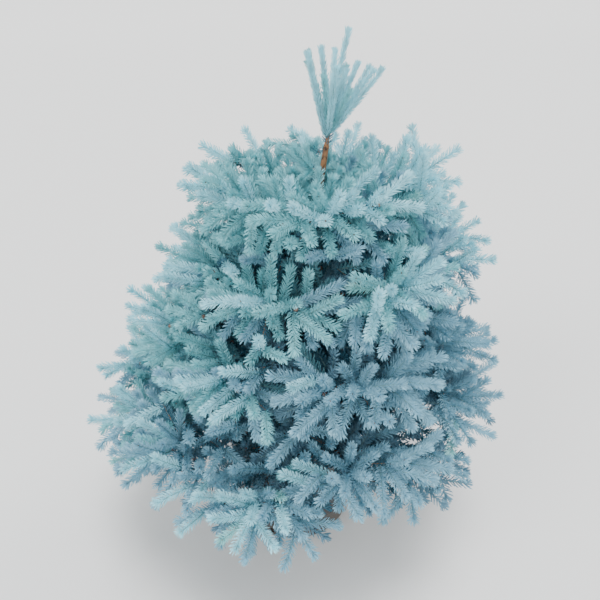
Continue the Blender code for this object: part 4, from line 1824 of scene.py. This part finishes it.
@dataclass
class Wood:
    """The limbs, twigs and buds of the crown."""

    trunk: Trunk
    limb_sides: int = 14
    limb_rows: int = 54
    tip_radius: float = 0.0022
    collar: float = 0.55
    collar_length: float = 0.022
    relief: float = 0.00045
    grain: float = 210.0
    twig_sides: int = 5
    twig_rows: int = 4
    twig_radius: float = 0.0019
    shoot_radius: float = 0.0016
    shoot_last: float = 0.88
    foot_size: float = 1.25
    taper: float = 0.5
    bud_sides: int = 6
    bud_rings: int = 5
    bud_radius: float = 0.0024
    bud_share: float = 0.89
    knob_radius: float = 0.0066
    knob_ahead: float = 0.002

    def limb_radii(self, mass: Mass, axis: Axis, shares: np.ndarray) -> np.ndarray:
        """A limb's radius at shares of its length, with the swollen collar where it leaves the trunk.

        Args:
            mass: The limb's mass.
            axis: The limb's line.
            shares: The shares of its length.

        Returns:
            The radii.
        """
        inside = self.trunk.radius(mass.wood[0].z) / axis.length
        out = np.maximum(shares - inside, 0.0) * axis.length
        collar = 1.0 + self.collar * np.exp(-out / self.collar_length)
        return (mass.radius + (self.tip_radius - mass.radius) * shares) * collar

    def limbs(self, label: str, masses: Sequence[Mass], nodes: Sequence[str]) -> None:
        """Makes one tier's limbs, each from inside the trunk to its last star.

        Args:
            label: The tier.
            masses: Its masses.
            nodes: The model's nodes that the limbs replace.
        """
        rod = Template.rod(self.limb_sides, self.limb_rows)
        shares = rod.points[:, 2]
        places = []
        for mass in masses:
            axis = Axis(mass.wood)
            smooth = axis.wrapped(rod, self.limb_radii(mass, axis, shares))
            middle = axis.at(shares)[0]
            places.append(roughened(smooth, middle, np.full(len(smooth), self.relief), self.grain))
        name = f"{label}_limbs"
        put(name, rod.joined(name, np.array(places)), Finish.LIMB, nodes)

    def twigs(self, label: str, masses: Sequence[Mass], nodes: Sequence[str]) -> None:
        """Makes one tier's side twigs and the thin twigs inside its shoots.

        Args:
            label: The tier.
            masses: Its masses.
            nodes: The model's nodes that the twigs replace.
        """
        rod = Template.rod(self.twig_sides, self.twig_rows)
        size = self.foot_size - self.taper * rod.points[:, 2]
        limbs = [line for mass in masses for line in mass.limbs]
        shoots = [shoot.line(self.shoot_last) for mass in masses for shoot in mass.shoots]
        for name, finish, radius, lines in (
            (f"{label}_twigs", Finish.TWIG, self.twig_radius, limbs),
            (f"{label}_young_twigs", Finish.YOUNG, self.shoot_radius, shoots),
        ):
            if lines:
                places = [Axis(line).wrapped(rod, radius * size) for line in lines]
                put(name, rod.joined(name, np.array(places)), finish, nodes)

    def buds(self, label: str, masses: Sequence[Mass], nodes: Sequence[str]) -> None:
        """Makes one tier's buds at the shoots' tips and the knobs at the middle of its stars.

        Args:
            label: The tier.
            masses: Its masses.
            nodes: The model's nodes that the buds replace.
        """
        bead = Template.bead(self.bud_sides, self.bud_rings)
        places = []
        for mass in masses:
            for shoot in mass.shoots:
                places.append(np.array(shoot.point(self.bud_share)) + bead.points * self.bud_radius)
            for centre, direction in mass.stars:
                knob = np.array(centre + direction * self.knob_ahead)
                places.append(knob + bead.points * self.knob_radius)
        name = f"{label}_buds"
        put(name, bead.joined(name, np.array(places)), Finish.BUD, nodes)


def quarter(steps: int) -> list[tuple[float, float]]:
    """The sine and cosine of the angles from 0 to 90 degrees, in equal steps."""
    angles = [math.pi / 2 * step / steps for step in range(steps + 1)]
    return [(math.sin(angle), math.cos(angle)) for angle in angles]


def turned(profile: Sequence[tuple[float, float]], segments: int) -> bmesh.types.BMesh:
    """A closed solid of revolution about Z.

    Args:
        profile: Radius and height of each point, from axis to axis.
        segments: How many steps the turn has.

    Returns:
        The solid.
    """
    bm = bmesh.new()
    verts = [bm.verts.new((radius, 0.0, height)) for radius, height in profile]
    edges = [bm.edges.new(pair) for pair in zip(verts, verts[1:])]
    bmesh.ops.spin(bm, geom=verts + edges, axis=(0, 0, 1), cent=(0, 0, 0), steps=segments,
                   angle=math.tau, use_merge=True)
    bmesh.ops.remove_doubles(bm, verts=bm.verts, dist=TINY)
    bmesh.ops.recalc_face_normals(bm, faces=bm.faces)
    return bm


@dataclass
class Pot:
    """A plain tapered nursery pot."""

    height: float = 0.36
    base_radius: float = 0.168
    top_radius: float = 0.205
    wall: float = 0.004
    floor: float = 0.006
    base_ring: tuple[float, ...] = (0.022, 0.020, 0.014, 0.012)
    base_ring_rise: float = 0.0012
    base_rounding: float = 0.006
    rib_rows: tuple[float, ...] = (0.075, 0.082)
    rib_half: float = 0.002
    rib_proud: float = 0.0010
    collar_height: float = 0.052
    collar_proud: float = 0.003
    collar_groove: float = 0.0002
    collar_step: float = 0.0012
    edge_drop: float = 0.001
    lip_height: float = 0.014
    lip_proud: float = 0.011
    lip_shelf: float = 0.0015
    lip_hollow: float = 0.0004
    lip_under: float = 0.002
    lip_rounding: float = 0.003
    mouth_rounding: float = 0.0015
    inner_row: float = 0.30
    floor_rounding: float = 0.003
    segments: int = 160
    slots: int = 8
    slot_depth: float = 0.024
    slot_width: float = 0.014
    slot_height: float = 0.024
    slot_foot: float = 0.012
    slot_rounding: float = 0.0025

    def outer(self, height: float) -> float:
        """The wall's outer radius at a height."""
        return self.base_radius + (self.top_radius - self.base_radius) * height / self.height

    def inner(self, height: float) -> float:
        """The wall's inner radius at a height."""
        share = (height - self.floor) / (self.height - self.floor)
        return self.base_radius + (self.top_radius - self.base_radius) * share - self.wall

    def profile(self) -> list[tuple[float, float]]:
        """The turned outline, from the middle of the underside round the lip to the middle of the floor.

        Returns:
            Radius and height of each point.
        """
        collar, lip = self.height - self.collar_height, self.height - self.lip_height
        collar_face = self.outer(collar) + self.collar_proud
        lip_foot = self.outer(lip) + self.collar_proud
        rim = self.top_radius + self.lip_proud
        mouth = self.top_radius - self.wall
        floor_edge = self.floor + self.floor_rounding
        ring = [self.base_radius - inset for inset in self.base_ring]
        rise = self.base_ring_rise
        points = [(0.0, 0.0), (ring[0], 0.0), (ring[1], rise), (ring[2], rise), (ring[3], 0.0)]
        points += [(self.base_radius - self.base_rounding * (1 - sine), self.base_rounding * (1 - cosine))
                   for sine, cosine in quarter(5)]
        for row in self.rib_rows:
            below, above = row - self.rib_half, row + self.rib_half
            points += [(self.outer(below), below), (self.outer(row) + self.rib_proud, row),
                       (self.outer(above), above)]
        points += [(self.outer(collar) - self.collar_groove, collar - self.edge_drop),
                   (self.outer(collar) + self.collar_step, collar),
                   (collar_face, collar + self.collar_proud),
                   (lip_foot, lip - self.edge_drop), (lip_foot + self.lip_shelf, lip)]
        points += [(rim - self.lip_under * (1 - sine), lip + self.lip_under * (1 - cosine) + self.lip_hollow)
                   for sine, cosine in quarter(4)]
        points += [(rim - self.lip_rounding * (1 - cosine), self.height - self.lip_rounding * (1 - sine))
                   for sine, cosine in quarter(6)]
        points += [(mouth + self.mouth_rounding, self.height), (mouth, self.height - self.mouth_rounding),
                   (self.inner(self.inner_row), self.inner_row), (self.inner(floor_edge), floor_edge),
                   (self.inner(self.floor) - self.floor_rounding, self.floor), (0.0, self.floor)]
        return points

    def slot_cutters(self) -> bmesh.types.BMesh:
        """The rounded blocks that cut the drain slots.

        Returns:
            The blocks.
        """
        cutters = bmesh.new()
        for number in range(self.slots):
            made = bmesh.ops.create_cube(cutters, size=1.0)["verts"]
            bmesh.ops.scale(cutters, vec=(self.slot_depth, self.slot_width, self.slot_height), verts=made)
            place = Vector((self.base_radius, 0.0, self.slot_foot + self.slot_height / 2))
            bmesh.ops.translate(cutters, vec=place, verts=made)
            turn = Matrix.Rotation(math.tau * (number + 0.5) / self.slots, 3, "Z")
            bmesh.ops.rotate(cutters, cent=(0, 0, 0), matrix=turn, verts=made)
        level_edges = [edge for edge in cutters.edges
                       if abs(edge.verts[0].co.z - edge.verts[1].co.z) < TINY]
        bmesh.ops.bevel(cutters, geom=level_edges, offset=self.slot_rounding, affect="EDGES", segments=3,
                        profile=0.5, material=-1)
        return cutters

    def build(self) -> None:
        """Makes the pot: a turned wall, with its drain slots cut through."""
        wall = mesh_from(turned(self.profile(), self.segments), "pot_turned")
        pot = bpy.data.objects.new("pot_turned", wall)
        cutter = bpy.data.objects.new("pot_slots", mesh_from(self.slot_cutters(), "pot_slots"))
        for item in (pot, cutter):
            bpy.context.scene.collection.objects.link(item)
        cut = pot.modifiers.new("slots", "BOOLEAN")
        cut.operation = "DIFFERENCE"
        cut.solver = "EXACT"
        cut.object = cutter
        graph = bpy.context.evaluated_depsgraph_get()
        mesh = bpy.data.meshes.new_from_object(pot.evaluated_get(graph))
        for item in (pot, cutter):
            bpy.data.objects.remove(item, do_unlink=True)
        mesh.set_sharp_from_angle(angle=math.radians(SHARP_FROM))
        put("pot_moulded", mesh, Finish.POT, ["pot"])


@dataclass
class Compost:
    """The compost in the pot, with bark chips and fallen needles on it."""

    pot: Pot
    edge: float = 0.326
    top: float = 0.336
    flat_radius: float = 0.062
    wall_gap: float = 0.0004
    floor_gap: float = 0.0005
    foot_inset: float = 0.0045
    foot_chamfer: float = 0.004
    side_gap: float = 0.0006
    segments: int = 120
    rows: int = 70
    smooth_degrees: float = 80.0
    relief: float = 0.0032
    crumbs: tuple[tuple[float, float], ...] = ((45.0, 1.0), (120.0, 0.6), (320.0, 0.35))
    crumbly_below: float = 0.001
    stem_room: float = 0.020
    stem_fade: float = 0.03
    rim_fade: float = 0.006
    rim_crumbs: float = 0.15
    chips: int = 1500
    chip_size: tuple[float, ...] = (0.0062, 0.0032, 0.0016)
    needles: int = 900
    needle_size: tuple[float, ...] = (0.0009, 0.0009, 0.020)
    size_scatter: Span = (0.45, 1.25)
    strewn_inset: float = 0.012
    strewn_from: float = 0.030
    strewn_tilt: float = 0.22
    strewn_lift: float = 0.0006

    def height(self, radius: float) -> float:
        """The surface's height at a distance from the middle.

        Args:
            radius: The distance.

        Returns:
            The height.
        """
        rim = self.pot.inner(self.edge)
        share = min(max((rim - radius) / (rim - self.flat_radius), 0.0), 1.0)
        return self.edge + (self.top - self.edge) * share

    def lumps(self, x: float, y: float) -> float:
        """How far the crumbs lift the surface at a place."""
        where = Vector((x, y, 0.0))
        return self.relief * sum(size * noise.noise(where * grain) for grain, size in self.crumbs)

    def crumbliness(self, radius: float, rim: float) -> float:
        """How much of the crumbs shows: less beside the trunk and beside the pot's wall."""
        beside_trunk = min(max((radius - self.stem_room) / self.stem_fade, 0.0), 1.0)
        return beside_trunk * min((rim - radius) / self.rim_fade + self.rim_crumbs, 1.0)

    def build(self) -> None:
        """Makes the compost, its chips and its litter."""
        rim = self.pot.inner(self.edge) - self.wall_gap
        foot = self.pot.floor + self.floor_gap
        side = foot + self.foot_chamfer
        profile = [(0.0, foot), (self.pot.inner(foot) - self.foot_inset, foot),
                   (self.pot.inner(side) - self.side_gap, side)]
        radii = [rim * (1 - step / self.rows) for step in range(self.rows)]
        profile += [(radius, self.height(radius)) for radius in radii]
        profile.append((0.0, self.top))
        bm = turned(profile, self.segments)
        for vert in bm.verts:
            if vert.co.z > self.edge - self.crumbly_below:
                near = self.crumbliness(math.hypot(vert.co.x, vert.co.y), rim)
                vert.co.z += self.lumps(vert.co.x, vert.co.y) * near
        surface = mesh_from(bm, "compost_surface", self.smooth_degrees)
        put("compost_surface", surface, Finish.COMPOST, ["soil"])
        self.strew("bark_chips", Template.chip(), self.chips, self.chip_size, Finish.CHIP)
        self.strew("fallen_needles", Template.needle(), self.needles, self.needle_size, Finish.LITTER)

    def strew(self, name: str, template: Template, count: int, size: Sequence[float],
              finish: Finish) -> None:
        """Strews small things over the compost.

        Args:
            name: The piece's name.
            template: The thing.
            count: How many there are.
            size: Its size along its own three axes.
            finish: Its finish.
        """
        rng = random.Random(name)
        rim = self.pot.inner(self.edge) - self.strewn_inset
        places = []
        for _ in range(count):
            radius = rim * math.sqrt(rng.uniform(self.strewn_from, 1.0))
            angle = rng.uniform(0.0, math.tau)
            x, y = radius * math.cos(angle), radius * math.sin(angle)
            scale = Matrix.Diagonal([part * rng.uniform(*self.size_scatter) for part in size])
            tilts = [Matrix.Rotation(rng.gauss(0.0, self.strewn_tilt), 3, axis) for axis in "XY"]
            flat = tilts[0] @ tilts[1]
            if finish is Finish.LITTER:
                flat = flat @ Matrix.Rotation(math.pi / 2, 3, "Y")
            turn = np.array(Matrix.Rotation(rng.uniform(0.0, math.tau), 3, "Z") @ flat @ scale)
            height = self.height(radius) + max(self.lumps(x, y), 0.0) + self.strewn_lift
            places.append(np.array((x, y, height)) + template.points @ turn.T)
        put(name, template.joined(name, np.array(places)), finish, [])


@dataclass(frozen=True)
class Lamp:
    """One wide, soft light: where it shines from, its strength and its colour."""

    name: str
    place: tuple[float, float, float]
    strength: float
    colour: Colour


@dataclass
class Studio:
    """The floor, the lights and the camera."""

    floor_radius: float = 14.0
    sweep: float = 9.0
    sweep_steps: int = 13
    floor_segments: int = 96
    floor_colour: Colour = (0.86, 0.86, 0.85)
    floor_roughness: float = 0.9
    world_colour: Colour = (0.90, 0.93, 0.96)
    world_strength: float = 0.86
    lamps: tuple[Lamp, ...] = (
        Lamp("overhead", (0.3, -0.5, 5.0), 2.90, (1.0, 1.0, 1.0)),
        Lamp("front_left", (-3.2, -3.0, 3.6), 1.20, (0.98, 0.99, 1.0)),
        Lamp("back_right", (3.0, 2.8, 3.6), 0.60, (1.0, 0.99, 0.97)),
    )
    lamp_degrees: float = 28.0
    aim_height: float = 0.75
    camera_place: tuple[float, float, float] = (0.02, -1.6, 1.6)
    camera_tilt: float = 62.0
    lens: float = 39.0
    sensor: float = 36.0

    def floor(self) -> None:
        """Makes the plain pale floor, which sweeps up far behind the plant on every side."""
        rise = [(self.floor_radius + self.sweep * math.sin(angle), self.sweep * (1.0 - math.cos(angle)))
                for angle in np.linspace(0.0, math.pi / 2, self.sweep_steps)]
        bm = turned([(0.0, 0.0), *rise], self.floor_segments)
        if sum(face.normal.z * face.calc_area() for face in bm.faces) < 0.0:
            bmesh.ops.reverse_faces(bm, faces=bm.faces)
        floor = bpy.data.objects.new("studio_floor", mesh_from(bm, "studio_floor"))
        graph = Graph("studio_floor")
        pale = graph.finish(Base_Color=self.floor_colour, Roughness=self.floor_roughness)
        floor.data.materials.append(pale)
        bpy.context.scene.collection.objects.link(floor)

    def light(self, lamp: Lamp) -> None:
        """Adds one wide, soft light that reaches the whole floor evenly.

        Args:
            lamp: The light.
        """
        sun = bpy.data.lights.new(lamp.name, "SUN")
        sun.angle = math.radians(self.lamp_degrees)
        sun.energy = lamp.strength
        sun.color = lamp.colour
        item = bpy.data.objects.new(lamp.name, sun)
        item.location = lamp.place
        aim = Vector((0.0, 0.0, self.aim_height)) - Vector(lamp.place)
        item.rotation_euler = aim.to_track_quat("-Z", "Y").to_euler()
        bpy.context.scene.collection.objects.link(item)

    def camera(self) -> None:
        """Sets the camera at the viewing angle: about 28 degrees down along +Y."""
        view = bpy.data.cameras.new("view")
        view.lens = self.lens
        view.sensor_width = self.sensor
        item = bpy.data.objects.new("view", view)
        item.location = self.camera_place
        item.rotation_euler = (math.radians(self.camera_tilt), 0.0, 0.0)
        bpy.context.scene.collection.objects.link(item)
        bpy.context.scene.camera = item

    def build(self) -> None:
        """Sets up the studio."""
        world = bpy.data.worlds.new("studio")
        bpy.context.scene.world = world
        world.use_nodes = True
        sky = world.node_tree.nodes["Background"]
        sky.inputs["Color"].default_value = (*self.world_colour, 1.0)
        sky.inputs["Strength"].default_value = self.world_strength
        self.floor()
        for lamp in self.lamps:
            self.light(lamp)
        self.camera()


def room_round(trunk: Trunk, pot: Pot, pot_room: float = 0.008, stretches: int = 20) -> Room:
    """The space with the trunk, the bare boughs and the pot in it.

    Args:
        trunk: The trunk.
        pot: The pot.
        pot_room: The room round and over the pot.
        stretches: How many straight stretches stand for the trunk.

    Returns:
        The space, before any foliage grows in it.
    """
    room = Room(pot.top_radius + pot.lip_proud + pot_room, pot.height + pot_room)
    heights = [trunk.foot + (trunk.top - trunk.foot) * step / stretches for step in range(stretches + 1)]
    room.add_limb([trunk.point(height) for height in heights], [trunk.radius(height) for height in heights])
    for whorl in WHORLS:
        for index in range(whorl.count if whorl.has_boughs else 0):
            line = whorl.line(trunk, index)
            bare = [point_at(line, whorl.bare * share) for share in HALVES]
            room.add_limb(bare, [whorl.radius, whorl.radius])
    return room


def write_sizes() -> None:
    """Updates the scene so that every piece stands in place."""
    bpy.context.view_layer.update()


def main() -> None:
    """Builds the plant, its pot and the studio, in order."""
    logging.basicConfig(level=logging.INFO, format="%(message)s")
    trunk = Trunk(whorl_heights=tuple(whorl.height for whorl in WHORLS))
    pot = Pot()
    foliage = Foliage(trunk, room_round(trunk, pot))
    foliage.grow()
    pot.build()
    Compost(pot).build()
    trunk.build()
    tiers: dict[str, list[Mass]] = defaultdict(list)
    for mass in foliage.masses:
        tiers[mass.label].append(mass)
    nodes = {label: [mass.name for mass in masses] for label, masses in tiers.items()}
    for mass in foliage.inner:
        tiers[mass.label].append(mass)
    coat = NeedleCoat()
    wood = Wood(trunk)
    for label, masses in tiers.items():
        boughs = [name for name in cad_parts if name.startswith(f"{label}_bough_")]
        wood.limbs(label, masses, boughs or nodes[label])
        wood.twigs(label, masses, nodes[label])
        wood.buds(label, masses, nodes[label])
        for mass in masses:
            coat.dress(mass)
    coat.build(nodes)
    Studio().build()
    write_sizes()


if __name__ == "__main__":
    main()
